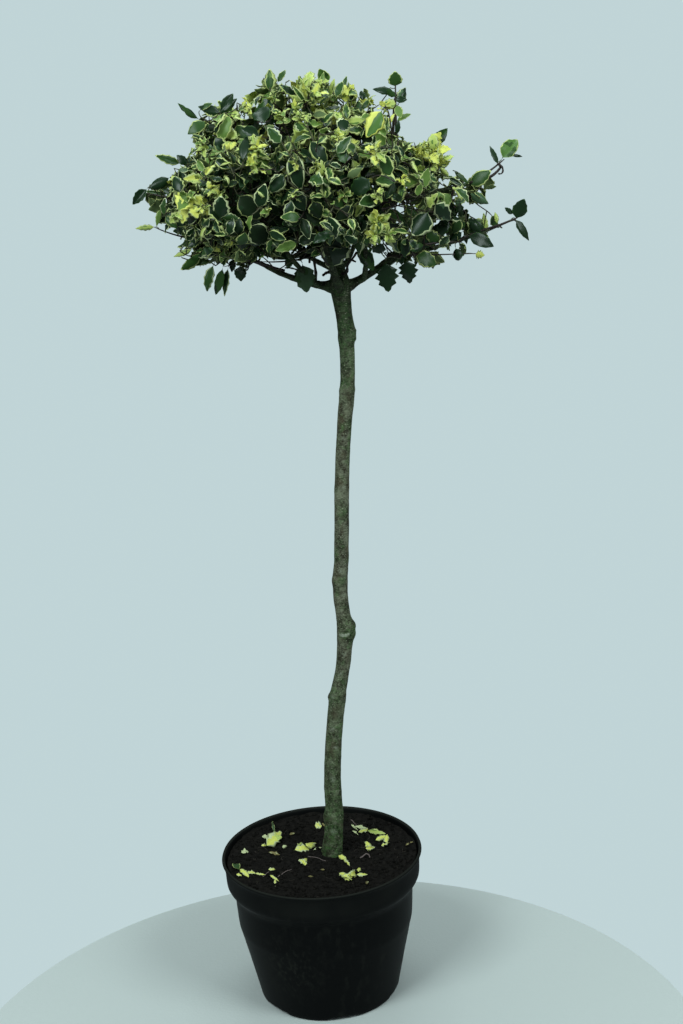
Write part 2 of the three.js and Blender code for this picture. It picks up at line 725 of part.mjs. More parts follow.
LIMBS.forEach(layLimb);
const placed = [makeTrunk(GAP)];
for (const limb of limbs.values()) {
  let solid = limbSolid(limb);
  for (const earlier of placed) solid = solid.subtract(earlier);
  addNode(`bough_${limb.name}`, mainBody(solid), LIMB_COLOUR, 0.8);
  placed.push(limbSolid(limb, GAP));
}

const obstacles = limbPoints();
MASSES.forEach((mass, i) => {
  addNode(`foliage_${mass.name}`, makeMass(mass, SEED + i, obstacles), LEAF_COLOUR, 0.4);
});

export default group;
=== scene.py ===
"""The looks of a variegated holly on one clear stem, in a round nursery pot.

Sizes in the tables are millimetres in the part's own frame: +Z up, -Y to the front, and the
origin at the middle of the pot's underside. Meshes are in metres.
"""
import json
import math

import bpy
import numpy as np
from mathutils import Matrix, Vector

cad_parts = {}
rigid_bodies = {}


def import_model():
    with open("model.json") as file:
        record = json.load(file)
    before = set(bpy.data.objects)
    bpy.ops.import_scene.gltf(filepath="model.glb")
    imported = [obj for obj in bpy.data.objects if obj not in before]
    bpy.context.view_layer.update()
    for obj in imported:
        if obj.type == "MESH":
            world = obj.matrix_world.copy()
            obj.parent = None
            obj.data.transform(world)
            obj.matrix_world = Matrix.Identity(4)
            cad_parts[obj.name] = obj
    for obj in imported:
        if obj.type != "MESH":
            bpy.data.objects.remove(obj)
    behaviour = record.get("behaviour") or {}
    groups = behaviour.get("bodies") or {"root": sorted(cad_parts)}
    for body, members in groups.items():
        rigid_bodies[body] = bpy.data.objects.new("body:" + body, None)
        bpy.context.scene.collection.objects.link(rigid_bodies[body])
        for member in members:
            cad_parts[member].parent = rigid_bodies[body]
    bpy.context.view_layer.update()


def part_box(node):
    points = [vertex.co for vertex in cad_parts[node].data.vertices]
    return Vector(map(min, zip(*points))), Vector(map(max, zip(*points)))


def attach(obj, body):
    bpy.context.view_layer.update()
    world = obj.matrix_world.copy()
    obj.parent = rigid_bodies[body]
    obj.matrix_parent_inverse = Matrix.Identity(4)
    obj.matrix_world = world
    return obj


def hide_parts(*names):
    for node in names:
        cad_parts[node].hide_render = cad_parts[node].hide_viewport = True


bl_info = {
    "name": "Potted variegated holly",
    "version": (1, 0, 0),
    "blender": (4, 5, 0),
    "location": "View3D > Sidebar > Holly",
    "description": "Makes the pot, compost, stem, boughs, twigs and leaves of a holly",
    "category": "Object",
}

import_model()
MM = 0.001
GOLDEN_ANGLE = math.radians(137.508)
STEPS_UP = np.linspace(0, 1, 8)  # the points of a shoot, as shares of its way up
UP = np.array([0.0, 0.0, 1.0])

# ---- sizes

POT_PROFILE = [  # radius, height: underside, outside, lip, inside, floor
    (60, 0), (112, 0), (118, 1.2), (119.4, 4), (121.5, 15), (133.5, 71), (145.8, 126), (147.3, 131),
    (148.4, 137), (151.2, 187), (152.3, 194), (157, 201), (162.6, 207), (163.9, 212), (164.4, 228),
    (165, 241), (165.6, 247.5), (168.4, 248.8), (169.6, 250.8), (169.3, 252.6), (167.6, 253.9),
    (165.4, 253.6), (164, 251.6), (163, 244), (162.2, 226), (161.6, 212), (153.3, 199), (148.3, 187),
    (146, 135), (119, 16), (116, 11), (60, 10),
]
POT_PROFILE_HEIGHT = 254.0
POT_ROWS = 150
POT_FOOT_RADIUS = 119.0
ARCH_COUNT = 6
ARCH_TURN = 0.16
ARCH_HALF_WIDTH = 30.0
ARCH_HEIGHT = 7.0
ARCH_DEPTH = 14.0
SCUFF_PLACE, SCUFF_RADIUS = (-70, -125, 105), 85

SOIL_LEVEL = 240.0
SOIL_RADIUS = 162.0
SOIL_SINK = 0.8  # how far the lumpy surface is let down
SOIL_EDGE_RISE = 6.0
SOIL_HEAP = (105, 160)  # the radii between which the surface rises to the wall
SOIL_LUMPS = [(2.2, 26, 3), (1.5, 8, 4), (0.8, 3.2, 5)]  # height, size, seed of the noise
SOIL_SKIRT = [(60, 60), (130, 120), (150, 198)]  # radius, height: under the surface's edge
BED_RINGS = 110
BED_SEGMENTS = 220
BED_CLEARANCE = 1.2
CRUMB_SEED = 9
FIBRE_SIDES = 5

STEM_FOOT = 229.0
LEADER_STEPS = 80
BOUGH_STEPS = 48
BOUGH_SIDES = 16
BOUGH_SEED = 5
BARK_SEEDS = (11, 12, 13)
FORK = (1192, 1240)  # the heights between which the stem's radius gives way to the leader's
TRUNK_Y = 13.4
TRUNK_TOP = 1206.0
TRUNK_LINE = [  # height, x
    (232, 16), (300, 24.5), (373, 26), (445, 32.5), (524, 44), (585, 57), (640, 61.5), (690, 59), (724, 59),
    (762, 63.5), (857, 69.5), (939, 76), (1042, 88.5), (1115, 92), (1170, 88.5), (1206, 86),
]
STEM_RADIUS = 14.0
STEM_FLARE, STEM_FLARE_HEIGHT = 4.16, 60
STEM_STEPS = [  # from height, to height, change of radius
    (520, 570, -1.75), (600, 680, -0.25), (1100, 1140, 1.2), (1150, 1195, 2.4)]
KNOTS = [  # height, swell, spread, side in degrees from +X, how one-sided
    (308, 2, 11, 200, 0.3), (524, 1.4, 9, 180, 0.9), (630, 3.2, 15, 0, 0.6), (646, 4.0, 10, 6, 0.85),
    (629, 2.6, 7, 2, 0.95), (723, 1.4, 8, 180, 0.9), (1035, 0.9, 4, 0, 0), (1122, 3, 10, 0, 0.8),
    (1203, 2.4, 12, 0, 0), (1072, -0.6, 26, 0, 0),
]
ROUGH_HEIGHTS = (308, 524, 640, 1122, 1203)
GREEN_KNOTS, GREEN_KNOT_RADIUS = [(72, 12, 640), (38, 12, 524), (24, 12, 308)], 38
STUB_ARM = 12.5  # turns a stub's angle into a distance round the stem

STUBS = [  # height, side in degrees, radius: the rings left where small boughs were cut
    (524, 205, 6), (636, 268, 5), (648, 330, 7), (308, 200, 6), (1122, 350, 7), (905, 300, 4),
    (762, 120, 5), (980, 80, 5), (590, 60, 6),
]
SCARS = [  # x, y, z, radius, strength of pale marks on the bark
    (50, 0, 634, 5, 2.4), (56, -2, 633, 5, 2.6), (62, -3, 633, 4, 2.4), (67, -2, 635, 3, 1.6),
    (36, 4, 526, 6, 1.4), (33, 7, 519, 5, 1.1), (26, 1, 380, 7, 0.8), (60, 2, 742, 6, 0.7),
    (50, 0, 566, 6, 0.7), (30, 0, 470, 7, 0.7), (72, 2, 880, 6, 0.5), (22, -2, 286, 8, 0.6),
    (64, 2, 700, 6, 0.6), (58, 1, 600, 6, 0.8), (78, 2, 960, 5, 0.4), (34, 0, 436, 6, 0.7),
]

LIMBS = [  # name, from, at, end, bow, radii
    ("leader", "trunk", 1206, (58, 15, 1382), (4, 2, 0), (10.6, 5.4)),
    ("left", "trunk", 1197, (-26, 11, 1237), (0, 2, -7), (5.6, 4)),
    ("right", "trunk", 1194, (222, 9, 1292), (2, 2, -13), (6, 4.2)),
    ("front", "trunk", 1196, (60, -66, 1290), (2, -9, -14), (5.6, 3.8)),
    ("back", "trunk", 1199, (66, 100, 1292), (0, 9, -14), (5.6, 3.8)),
    ("left_outer", "leader", 0.36, (-92, 8, 1302), (-2, 0, -36), (4, 2.8)),
    ("left_upper", "leader", 0.66, (-22, 22, 1392), (-4, 0, -10), (4.2, 3)),
    ("top_right", "leader", 0.84, (84, 18, 1368), (5, 0, -3), (4.2, 3.2)),
    ("right_outer", "leader", 0.7, (318, 10, 1348), (0, 0, -10), (4.8, 2.4)),
    ("right_upper", "right_outer", 0.46, (203, 6, 1352), (3, 0, -3), (3, 2.4)),
    ("right_shoot", "right_outer", 0.3, (180, 20, 1412), (8, 2, -6), (3, 2.2)),
    ("right_lower", "right", 0.62, (322, 8, 1272), (0, 0, -6), (4, 2.3)),
    ("right_under", "right", 0.42, (176, -22, 1240), (0, -3, -3), (3, 2.4)),
    ("front_left", "left", 0.3, (-8, -66, 1290), (2, -8, -12), (4.2, 3.2)),
    ("front_right", "right", 0.26, (124, -60, 1280), (2, -8, -8), (4.2, 3.2)),
    ("back_left", "back", 0.4, (-4, 104, 1296), (-2, 6, -12), (4.2, 3.2)),
    ("back_right", "back", 0.3, (124, 96, 1290), (6, 6, -12), (4.2, 3.2)),
    ("low_front", "front", 0.3, (68, -34, 1246), (-1, -2, -4), (3.2, 2.6)),
]

MASSES = [  # name, limb, twigs, centre, half size, lead
    ("left_low", "left", 13, (-88, -5, 1262), (102, 96, 64), (-0.8, -0.2, -0.1)),
    ("left", "left_outer", 13, (-120, 10, 1352), (106, 102, 76), (-0.95, 0, 0.1)),
    ("left_upper", "left_upper", 13, (-70, 22, 1432), (104, 104, 78), (-0.6, 0, 0.55)),
    ("top", "leader", 13, (14, 15, 1434), (100, 104, 97), (-0.2, 0, 0.85)),
    ("top_right", "top_right", 13, (116, 18, 1424), (100, 104, 96), (0.35, 0, 0.75)),
    ("right_shoot", "right_shoot", 5, (186, 20, 1456), (40, 42, 66), (0.1, 0, 0.9)),
    ("right_upper", "right_upper", 9, (204, 4, 1378), (84, 98, 64), (0.6, 0, 0.5)),
    ("right", "right", 9, (268, 4, 1318), (86, 92, 70), (0.75, 0, 0.1)),
    ("right_tip", "right_outer", 4, (345, 10, 1378), (37, 36, 40), (0.4, 0, 0.5)),
    ("right_low", "right_under", 9, (216, -8, 1262), (92, 92, 62), (0.8, -0.1, -0.1)),
    ("right_low_tip", "right_lower", 4, (350, 6, 1276), (37, 38, 46), (0.5, 0, 0.3)),
    ("front_left", "front_left", 13, (-46, -108, 1336), (108, 108, 94), (-0.6, -0.6, 0.1)),
    ("front", "front", 13, (54, -128, 1342), (100, 110, 102), (0, -0.8, 0.3)),
    ("front_right", "front_right", 13, (150, -104, 1330), (104, 104, 94), (0.6, -0.6, 0.1)),
    ("back_left", "back_left", 9, (-46, 140, 1346), (108, 108, 96), (-0.6, 0.6, 0.1)),
    ("back", "back", 9, (56, 160, 1350), (100, 110, 102), (0, 0.8, 0.3)),
    ("back_right", "back_right", 9, (160, 134, 1340), (104, 104, 94), (0.6, 0.6, 0.1)),
    ("low_front", "low_front", 6, (44, -52, 1262), (84, 72, 52), (-0.6, -0.6, -0.2)),
]
CENTRES = np.array([mass[3] for mass in MASSES], float)
HALVES = np.array([mass[4] for mass in MASSES], float)
MEAN_HALVES = HALVES.mean(1)
SPACE_GAP = 0.3
CROWN_MIDDLE = np.array([70.0, 10.0, 1320.0])
CROWN_HALF = np.array([290.0, 230.0, 190.0])

GROUPS = [  # one piece of leaves for each group of masses
    ("leaves_left", ["left_low", "left", "left_upper"]),
    ("leaves_front", ["front_left", "front", "low_front"]),
    ("leaves_top", ["top", "top_right", "right_shoot"]),
    ("leaves_right", ["right_upper", "right", "right_tip", "right_low", "right_low_tip",
                      "front_right"]),
    ("leaves_back", ["back_left", "back"]),
    ("leaves_back_right", ["back_right"]),
]

# The crown's outline from the front, as x, z where the sight line meets the stem's plane.
EYE = np.array([0.0, -2401.0, 1464.0])
CROWN_LEFT, CROWN_RIGHT = -200.0, 345.0
CROWN_TOP = [
    (-200, 1352), (-192, 1370), (-176, 1374), (-160, 1383), (-147, 1400), (-133, 1415), (-122, 1438),
    (-112, 1466), (-103, 1482), (-88, 1489), (-72, 1486), (-62, 1478), (-48, 1478), (-40, 1492),
    (-26, 1497), (-13, 1508), (0, 1516), (9, 1503), (16, 1489), (28, 1484), (37, 1499), (48, 1512),
    (59, 1521), (79, 1519), (88, 1502), (103, 1492), (111, 1481), (119, 1491), (127, 1494), (135, 1478),
    (142, 1467), (158, 1466), (171, 1473), (179, 1467), (187, 1440), (198, 1418), (212, 1411), (227, 1414),
    (238, 1422), (246, 1419), (250, 1395), (255, 1371), (274, 1361), (296, 1358), (312, 1364), (324, 1358),
    (333, 1346), (345, 1300),
]
CROWN_FOOT = [
    (-200, 1345), (-198, 1339), (-190, 1323), (-183, 1302), (-169, 1289), (-158, 1276), (-147, 1254),
    (-133, 1247), (-118, 1243), (-102, 1249), (-88, 1235), (-72, 1231), (-56, 1243), (-38, 1244),
    (-24, 1247), (3, 1251), (26, 1253), (45, 1250), (67, 1246), (88, 1237), (104, 1245), (123, 1253),
    (141, 1249), (156, 1233), (180, 1228), (208, 1223), (226, 1222), (245, 1227), (261, 1231), (276, 1235),
    (292, 1240), (308, 1246), (320, 1252), (330, 1262), (345, 1295),
]
SKY_GAPS = [  # x, z, half width, half height of the gaps seen from the front
    (180, 1315, 9, 8), (188, 1289, 6, 5), (210, 1319, 6, 9), (203, 1349, 5, 5), (254, 1346, 8, 5),
    (249, 1245, 9, 7), (301, 1307, 14, 14), (235, 1292, 6, 4), (270, 1274, 5, 5), (157, 1257, 9, 6),
    (22, 1480, 7, 5), (-63, 1475, 4, 9), (-41, 1459, 5, 9), (-94, 1462, 7, 6), (114, 1476, 6, 6),
    (89, 1460, 6, 4), (273, 1315, 6, 5), (168, 1269, 5, 5), (137, 1234, 6, 9), (-50, 1476, 7, 9),
    (326, 1315, 15, 19), (312, 1300, 10, 9), (27, 1487, 8, 7), (96, 1470, 4, 5),
]
DARK_HOLLOWS = [  # the same, for the dark places between the leaves of the front, where leaves get painted shade
    (-56, 1357, 34, 27), (-14, 1322, 24, 21), (34, 1289, 39, 21), (0, 1386, 12, 14), (247, 1303, 16, 16),
    (170, 1335, 14, 14), (-73, 1388, 14, 14), (36, 1261, 18, 12), (104, 1389, 12, 12), (210, 1281, 14, 12),
]
BARE_LIMBS = {  # the stretches of limbs that no leaf hides from the front
    "left": (0.0, 0.92), "right": (0.0, 0.6), "right_outer": (0.42, 0.95),
    "right_lower": (0.62, 1.0),
}

# Twigs that stand out of the crown, each over three points, start, control and end, with the
# radius of its foot.
LONE_TWIGS = [
    ((159, -10, 1243), (228, -22, 1241), (295, -20, 1239), 1.6),
    ((266, 0, 1255), (292, 4, 1270), (362, 6, 1284), 1.8),
    ((293, 0, 1344), (318, 6, 1354), (347, 6, 1376), 2.2),
    ((186, 10, 1399), (183, 10, 1430), (187, 10, 1499), 2.5),
    ((14, -20, 1400), (8, -16, 1460), (-2, -10, 1502), 1.7),
    ((-139, 0, 1287), (-163, 0, 1292), (-192, 0, 1307), 1.5),
    ((58, -10, 1255), (26, -14, 1240), (-31, -16, 1246), 1.8),
    ((-31, -16, 1246), (-65, -20, 1248), (-89, -26, 1243), 1.4),
    ((2, 10, 1228), (-18, 2, 1235), (-42, -6, 1248), 2.2),
]
DEAD_TWIGS = [  # small hooked twigs and stubs: their points, and how thick
    ([(48, 8, 1206), (50, -2, 1220), (49, -6, 1232), (48, -8, 1244), (44, -9, 1249),
      (41, -9, 1244), (41, -8, 1239)], 2.6),
    ([(76, 10, 1222), (66, 2, 1222), (60, -2, 1218)], 3.0),
    ([(88, 8, 1218), (94, -2, 1219), (98, -7, 1222), (98, -10, 1231), (102, -12, 1238),
      (108, -13, 1243), (114, -14, 1252)], 2.6),
    ([(105, -12, 1241), (109, -13, 1238), (112, -13, 1237)], 1.9),
    ([(28, 6, 1222), (22, 0, 1229), (12, -4, 1233), (3, -8, 1234)], 1.6),
    ([(336, 4, 1370), (343, 6, 1366), (345, 6, 1359), (342, 6, 1354), (337, 6, 1355)], 1.8),
]
TRACK_STEPS = 60  # places on a leading shoot where side twigs may start
TWIG_SIDES = 6
DEAD_TWIG_STEPS, DEAD_TWIG_SIDES = 24, 8

# Leaves with a place of their own: x, y and z of the root and of the tip, width, kind.
# The shaded and rimmed kinds give a leaf painted shade.
PLACED_LEAVES = [
    (-113, 0, 1463, -141, -10, 1484, 13, "dark"), (-75, -20, 1472, -58, -20, 1495, 17, "dark"),
    (-79, -20, 1470, -107, -26, 1480, 15, "dark"), (-101, -30, 1457, -123, -50, 1450, 18, "mid"),
    (-146, 0, 1399, -177, -10, 1412, 12, "edged"), (-164, 0, 1378, -192, -6, 1367, 16, "dark"),
    (-199, 0, 1363, -220, -6, 1345, 17, "dark"), (-169, 20, 1354, -203, 14, 1359, 7, "mid"),
    (-179, -20, 1333, -185, -26, 1311, 9, "pale"), (-192, 0, 1307, -218, -6, 1307, 8, "lime"),
    (-137, -20, 1271, -163, -26, 1264, 8, "lime"), (-124, -20, 1264, -154, -30, 1239, 15, "mid"),
    (-106, -30, 1245, -129, -34, 1207, 14, "edged"), (-92, -30, 1239, -105, -34, 1199, 13, "dark"),
    (-84, -24, 1238, -95, -28, 1200, 10, "edged"), (-65, -30, 1242, -66, -36, 1222, 18, "dark"),
    (30, -26, 1237, 34, -34, 1200, 32, "dull"), (13, -30, 1252, 7, -34, 1236, 15, "dark"),
    (-2, -10, 1497, -1, -10, 1526, 23, "broad"), (11, 0, 1509, 23, 0, 1527, 9, "mid"),
    (35, -20, 1486, 18, -30, 1506, 15, "edged"), (56, -20, 1499, 60, -16, 1526, 15, "lime"),
    (84, -10, 1503, 74, -10, 1524, 18, "green"), (104, 0, 1488, 115, 0, 1512, 9, "mid"),
    (95, -30, 1483, 105, -30, 1505, 12, "edged"), (136, 0, 1475, 136, 0, 1490, 11, "dark"),
    (135, 10, 1462, 147, 10, 1477, 8, "mid"), (186, 10, 1493, 187, 2, 1512, 23, "mid"),
    (183, 10, 1483, 155, 4, 1496, 13, "dark"), (191, 10, 1468, 206, 8, 1490, 15, "edged"),
    (187, 10, 1442, 207, 6, 1455, 8, "pale"), (153, -142, 1457, 133, -160, 1427, 29, "half"),
    (241, 0, 1406, 260, -4, 1426, 19, "dark"), (345, 6, 1379, 366, 0, 1409, 23, "green"),
    (337, 6, 1370, 326, 10, 1399, 7, "dark"), (359, 4, 1381, 377, 4, 1382, 5, "dark"),
    (294, 0, 1342, 320, -12, 1361, 21, "mid"), (293, 0, 1328, 318, -12, 1314, 15, "grey"),
    (269, -10, 1362, 291, -14, 1345, 9, "mid"), (259, -20, 1354, 280, -24, 1341, 9, "edged"),
    (246, -20, 1370, 258, -24, 1354, 7, "lime"), (363, 6, 1287, 374, 0, 1315, 20, "dark"),
    (363, 6, 1283, 382, 0, 1254, 15, "dark"), (333, 6, 1281, 329, 6, 1298, 7, "lime"),
    (317, 6, 1271, 310, 2, 1296, 8, "lime"), (311, 6, 1269, 294, -4, 1290, 13, "dark"),
    (288, -10, 1265, 324, -20, 1252, 19, "dark"), (265, -20, 1248, 269, -24, 1230, 14, "dark"),
    (295, -20, 1238, 310, -22, 1234, 11, "lemon"), (204, -30, 1242, 233, -40, 1232, 24, "mid"),
    (188, -34, 1235, 192, -40, 1199, 22, "spiny"), (156, -36, 1233, 157, -44, 1194, 28, "spiny"),
    (115, -40, 1261, 138, -50, 1229, 22, "dark"), (89, -58, 1278, 70, -66, 1231, 40, "neat"),
    (25, -176, 1407, 28, -194, 1362, 29, "neat"), (9, -183, 1379, -11, -189, 1359, 27, "neat"),
    (22, -187, 1356, 35, -192, 1329, 22, "neat"), (-13, -140, 1453, -19, -112, 1478, 28, "dark"),
    (-46, -165, 1404, -41, -152, 1438, 17, "dark"), (51, -170, 1422, 72, -188, 1396, 22, "neat"),
    (-139, -138, 1363, -149, -131, 1387, 18, "edged"), (-40, -171, 1311, -19, -168, 1283, 30, "rimmed"),
    (-54, -174, 1353, -29, -182, 1322, 31, "shaded"), (158, -177, 1370, 149, -177, 1400, 20, "neat"),
    (211, -155, 1313, 191, -153, 1283, 30, "neat"), (224, -150, 1324, 252, -122, 1296, 21, "edged"),
    (128, -183, 1366, 103, -193, 1350, 25, "dark"), (105, -185, 1330, 76, -190, 1315, 17, "shaded"),
    (48, -188, 1340, 58, -190, 1315, 20, "rimmed"), (90, -158, 1438, 109, -151, 1451, 18, "edged"),
    (96, -182, 1391, 88, -179, 1416, 14, "dark"), (-128, -150, 1359, -143, -158, 1338, 26, "sunny"),
    (-122, -152, 1352, -102, -160, 1349, 16, "lemon"), (-124, -152, 1345, -117, -160, 1325, 16, "lemon"),
    (-132, -152, 1342, -140, -158, 1321, 15, "lemon"), (-140, -145, 1334, -157, -148, 1322, 14, "lime"),
    (-113, -152, 1340, -98, -160, 1331, 14, "lemon"), (-96, -152, 1357, -86, -158, 1373, 12, "lemon"),
    (48, -34, 1490, 40, -44, 1511, 9, "lime"), (62, -34, 1490, 74, -40, 1509, 9, "lemon"),
    (50, -40, 1482, 47, -54, 1506, 9, "lemon"), (58, -40, 1479, 66, -56, 1498, 10, "lemon"),
    (44, -40, 1478, 31, -50, 1489, 9, "lime"), (86, -22, 1484, 92, -30, 1506, 9, "lime"),
    (-110, -14, 1253, -137, -22, 1250, 9, "mid"), (-76, -20, 1252, -81, -24, 1234, 12, "dark"),
    (-123, -20, 1285, -142, -26, 1277, 11, "edged"), (180, -10, 1250, 182, -20, 1230, 14, "dark"),
    (233, -30, 1271, 213, -30, 1254, 17, "dark"), (254, -20, 1292, 237, -30, 1271, 18, "dark"),
    (273, -20, 1291, 261, -20, 1269, 16, "mid"), (290, 0, 1285, 304, -10, 1269, 13, "dark"),
    (190, -60, 1298, 207, -70, 1280, 15, "edged"), (164, -60, 1315, 181, -80, 1300, 15, "dark"),
    (191, -60, 1320, 203, -80, 1306, 14, "mid"), (276, -6, 1271, 257, -12, 1261, 13, "dark"),
    (220, -30, 1276, 239, -40, 1261, 17, "edged"), (38, -40, 1484, 53, -60, 1508, 9, "lime"),
    (68, -20, 1486, 79, -20, 1517, 11, "pale"), (48, -40, 1476, 36, -60, 1497, 10, "broad"),
    (-23, -60, 1455, -18, -80, 1476, 13, "dark"), (-107, -20, 1475, -95, -30, 1488, 9, "mid"),
    (-78, -20, 1469, -57, -30, 1491, 13, "dark"), (186, 8, 1467, 168, 0, 1469, 14, "lime"),
    (186, 8, 1478, 170, 2, 1488, 9, "dark"), (187, 8, 1464, 192, 0, 1446, 12, "pale"),
    (185, 8, 1423, 189, 0, 1441, 8, "dark"), (186, 8, 1472, 200, 0, 1475, 10, "dark"),
    (358, 6, 1294, 345, 2, 1303, 9, "dark"), (-135, 0, 1397, -146, -4, 1412, 12, "dark"),
    (109, -20, 1474, 113, -26, 1498, 19, "lemon"), (118, -20, 1476, 120, -20, 1494, 8, "dark"),
    (-22, -158, 1435, -46, -140, 1446, 17, "dark"), (-66, -160, 1392, -88, -152, 1408, 16, "edged"),
    (8, -176, 1424, -8, -168, 1442, 15, "edged"), (86, -180, 1405, 106, -172, 1424, 15, "edged"),
]

# Sprays of wholly yellow or yellow-green leaves: x, y and z of the centre, radius, kind.
YELLOW_SPRAYS = [
    (-126, -146, 1350, 18, "lime"), (-143, -140, 1331, 15, "lime"), (-106, -158, 1338, 14, "lemon"),
    (-36, -30, 1474, 13, "lemon"), (-24, -165, 1415, 18, "lemon"), (-31, -173, 1391, 15, "lemon"),
    (62, -44, 1482, 21, "lime"), (46, -36, 1499, 13, "lime"), (76, -30, 1499, 12, "lime"),
    (34, -60, 1466, 12, "lime"), (3, -30, 1484, 12, "lime"), (113, -14, 1483, 17, "lemon"),
    (163, -80, 1460, 12, "lemon"), (230, -40, 1391, 25, "lemon"), (243, -40, 1378, 18, "lemon"),
    (212, -50, 1395, 17, "lemon"), (175, -173, 1361, 12, "lemon"), (137, -176, 1306, 22, "lemon"),
    (130, -170, 1287, 18, "lime"), (149, -168, 1287, 17, "lime"), (89, -166, 1426, 10, "lemon"),
    (55, -184, 1388, 13, "lemon"), (-81, -165, 1356, 12, "lemon"), (-92, -167, 1364, 12, "lemon"),
    (-16, -181, 1330, 13, "lime"), (-83, -60, 1268, 19, "lime"), (-70, -150, 1290, 13, "lime"),
    (-101, -133, 1424, 16, "lime"), (38, -147, 1452, 13, "lime"), (28, -181, 1393, 11, "lemon"),
    (140, -180, 1402, 19, "lemon"), (93, -188, 1348, 14, "lime"), (139, -184, 1342, 12, "lime"),
    (22, -190, 1350, 11, "lime"), (12, -140, 1457, 13, "lime"), (46, -150, 1455, 12, "lime"),
    (-60, 190, 1400, 24, "lemon"), (90, 230, 1380, 22, "lemon"), (190, 170, 1330, 20, "lemon"),
    (10, 120, 1490, 18, "lime"), (-120, 120, 1330, 18, "lemon"), (150, 110, 1470, 17, "lemon"),
    (30, 210, 1300, 18, "lime"), (300, 70, 1330, 14, "lemon"),
]

# Fallen leaves and bits of leaf on the compost: x and y of the foot and of the tip, width, how
# far the tip stands up, kind.
FALLEN_LEAVES = [
    (-96, 41, -69, 80, 17, 8, "shed"), (-92, 68, -70, 65, 15, 5, "lime"),
    (-103, 82, -92, 79, 6, 1, "cream"), (-104, 48, -94, 52, 5, 1, "shed"),
    (-80, 93, -85, 127, 4, 6, "grey"), (-138, 19, -123, 32, 8, 2, "cream"),
    (-68, 41, -58, 45, 5, 1, "cream"), (-92, 25, -70, 15, 5, 2, "faded"), (-55, 89, -45, 92, 4, 1, "faded"),
    (-10, 111, 2, 109, 11, 3, "shed"), (3, 123, 9, 112, 3, 1, "husk"), (-48, 23, -16, 33, 13, 4, "shed"),
    (-28, 31, -5, 50, 15, 6, "shed"), (-42, 26, -33, 51, 8, 3, "lime"), (-15, 25, -1, 27, 3, 1, "cream"),
    (-33, -34, -26, 1, 7, 3, "shed"), (-40, -12, -28, -32, 8, 2, "shed"), (59, 96, 81, 85, 7, 2, "cream"),
    (54, 107, 64, 88, 3, 1, "cream"), (64, 74, 87, 78, 6, 2, "shed"), (80, 75, 108, 59, 8, 3, "lime"),
    (55, 79, 65, 70, 4, 1, "cream"), (92, 39, 116, 47, 8, 4, "shed"), (115, 57, 111, 26, 8, 5, "shed"),
    (101, 22, 116, 18, 6, 1, "shed"), (78, 41, 81, 10, 8, 2, "shed"), (74, 15, 90, 9, 7, 1, "shed"),
    (27, -7, 38, -20, 8, 2, "shed"), (35, -16, 43, -39, 5, 1, "shed"), (25, -68, 43, -95, 10, 2, "shed"),
    (29, -86, 54, -83, 10, 4, "shed"), (44, -88, 58, -66, 10, 3, "shed"), (54, -76, 71, -79, 8, 2, "shed"),
    (58, -70, 63, -35, 6, 4, "shed"), (34, -83, 41, -104, 5, 1, "shed"), (68, -120, 74, -98, 4, 1, "faded"),
    (143, 3, 149, 7, 3, 1, "faded"), (151, 7, 156, 13, 4, 1, "faded"), (-138, -52, -154, -12, 10, 7, "mid"),
    (-139, -43, -127, -64, 8, 3, "shed"), (-144, -62, -135, -65, 5, 2, "shed"),
    (-128, -55, -111, -50, 5, 2, "shed"), (-114, -51, -97, -55, 3, 1, "shed"),
    (-92, -40, -77, -38, 5, 2, "shed"), (-89, -61, -77, -77, 5, 2, "shed"),
    (-80, -73, -79, -92, 3, 1, "shed"), (-5, -49, 7, -48, 3, 1, "husk"), (-26, -74, -15, -69, 3, 1, "husk"),
]
FALLEN_TWIGS = [  # points x, y, height over the compost, and how thick
    ([(-75, -63, 1.5), (-64, -51, 3), (-52, -39, 1.5)], 0.8),
    ([(64, -13, 1), (70, -10, 3), (74, -3, 4), (79, -3, 3), (81, -17, 1)], 1.3),
    ([(55, 122, 1), (60, 113, 3), (66, 97, 1)], 0.8),
    ([(-100, -57, 1), (-96, -52, 3), (-90, -44, 2)], 0.8),
    ([(-24, 7, 1), (-8, -9, 2), (6, -21, 1)], 0.7),
]
FALLEN_TWIG_STEPS = 12
FALLEN_SEED, FALLEN_LEAF_SEED = 17, 55


# ---- settings

LEAF_SKINS = {  # name, where it shows, colour, roughness, gloss
    "deep": ("Deep green leaf", "Middle of most leaves", (0.009, 0.027, 0.0085), 0.32, 0.27),
    "mid": ("Mid green leaf", "Middle of some leaves", (0.029, 0.073, 0.0155), 0.36, 0.25),
    "grey": ("Grey green leaf", "Splashes by the margin", (0.056, 0.106, 0.049), 0.4, 0.25),
    "light": ("Light green leaf", "Young leaves", (0.125, 0.215, 0.044), 0.42, 0.25),
    "cream": ("Cream margin", "Margins", (0.555, 0.605, 0.33), 0.46, 0.25),
    "butter": ("Butter margin", "Yellower margins", (0.5, 0.56, 0.21), 0.46, 0.25),
    "lime": ("Lime leaf", "Yellow-green leaves", (0.43, 0.52, 0.125), 0.46, 0.25),
    "lemon": ("Lemon leaf", "Wholly yellow leaves", (0.68, 0.7, 0.15), 0.48, 0.25),
    "under": ("Leaf underside", "Undersides of leaves", (0.1, 0.145, 0.055), 0.6, 0.2),
    # The rim skin is also the dimmed margin of the shaded kind: painted shade over what is a cream margin.
    "rim": ("Underside margin", "Margins seen from below", (0.36, 0.4, 0.15), 0.6, 0.2),
    # The shade skin is painted shade: a near-black green for leaves deep in the crown and in its dark
    # hollows, on top and beneath.
    "shade": ("Shaded leaf", "Old leaves inside", (0.0065, 0.0165, 0.0045), 0.5, 0.15),
    "husk": ("Withered leaf", "Withered bits on the compost", (0.2, 0.17, 0.07), 0.7, 0.2),
    "fresh": ("Fresh green leaf", "Leaves at the shoots' ends", (0.07, 0.155, 0.029), 0.4, 0.3),
}


def a_colour(name, description, default):
    """A colour that a user can change."""
    return bpy.props.FloatVectorProperty(
        name=name, description=description, subtype="COLOR", default=default)


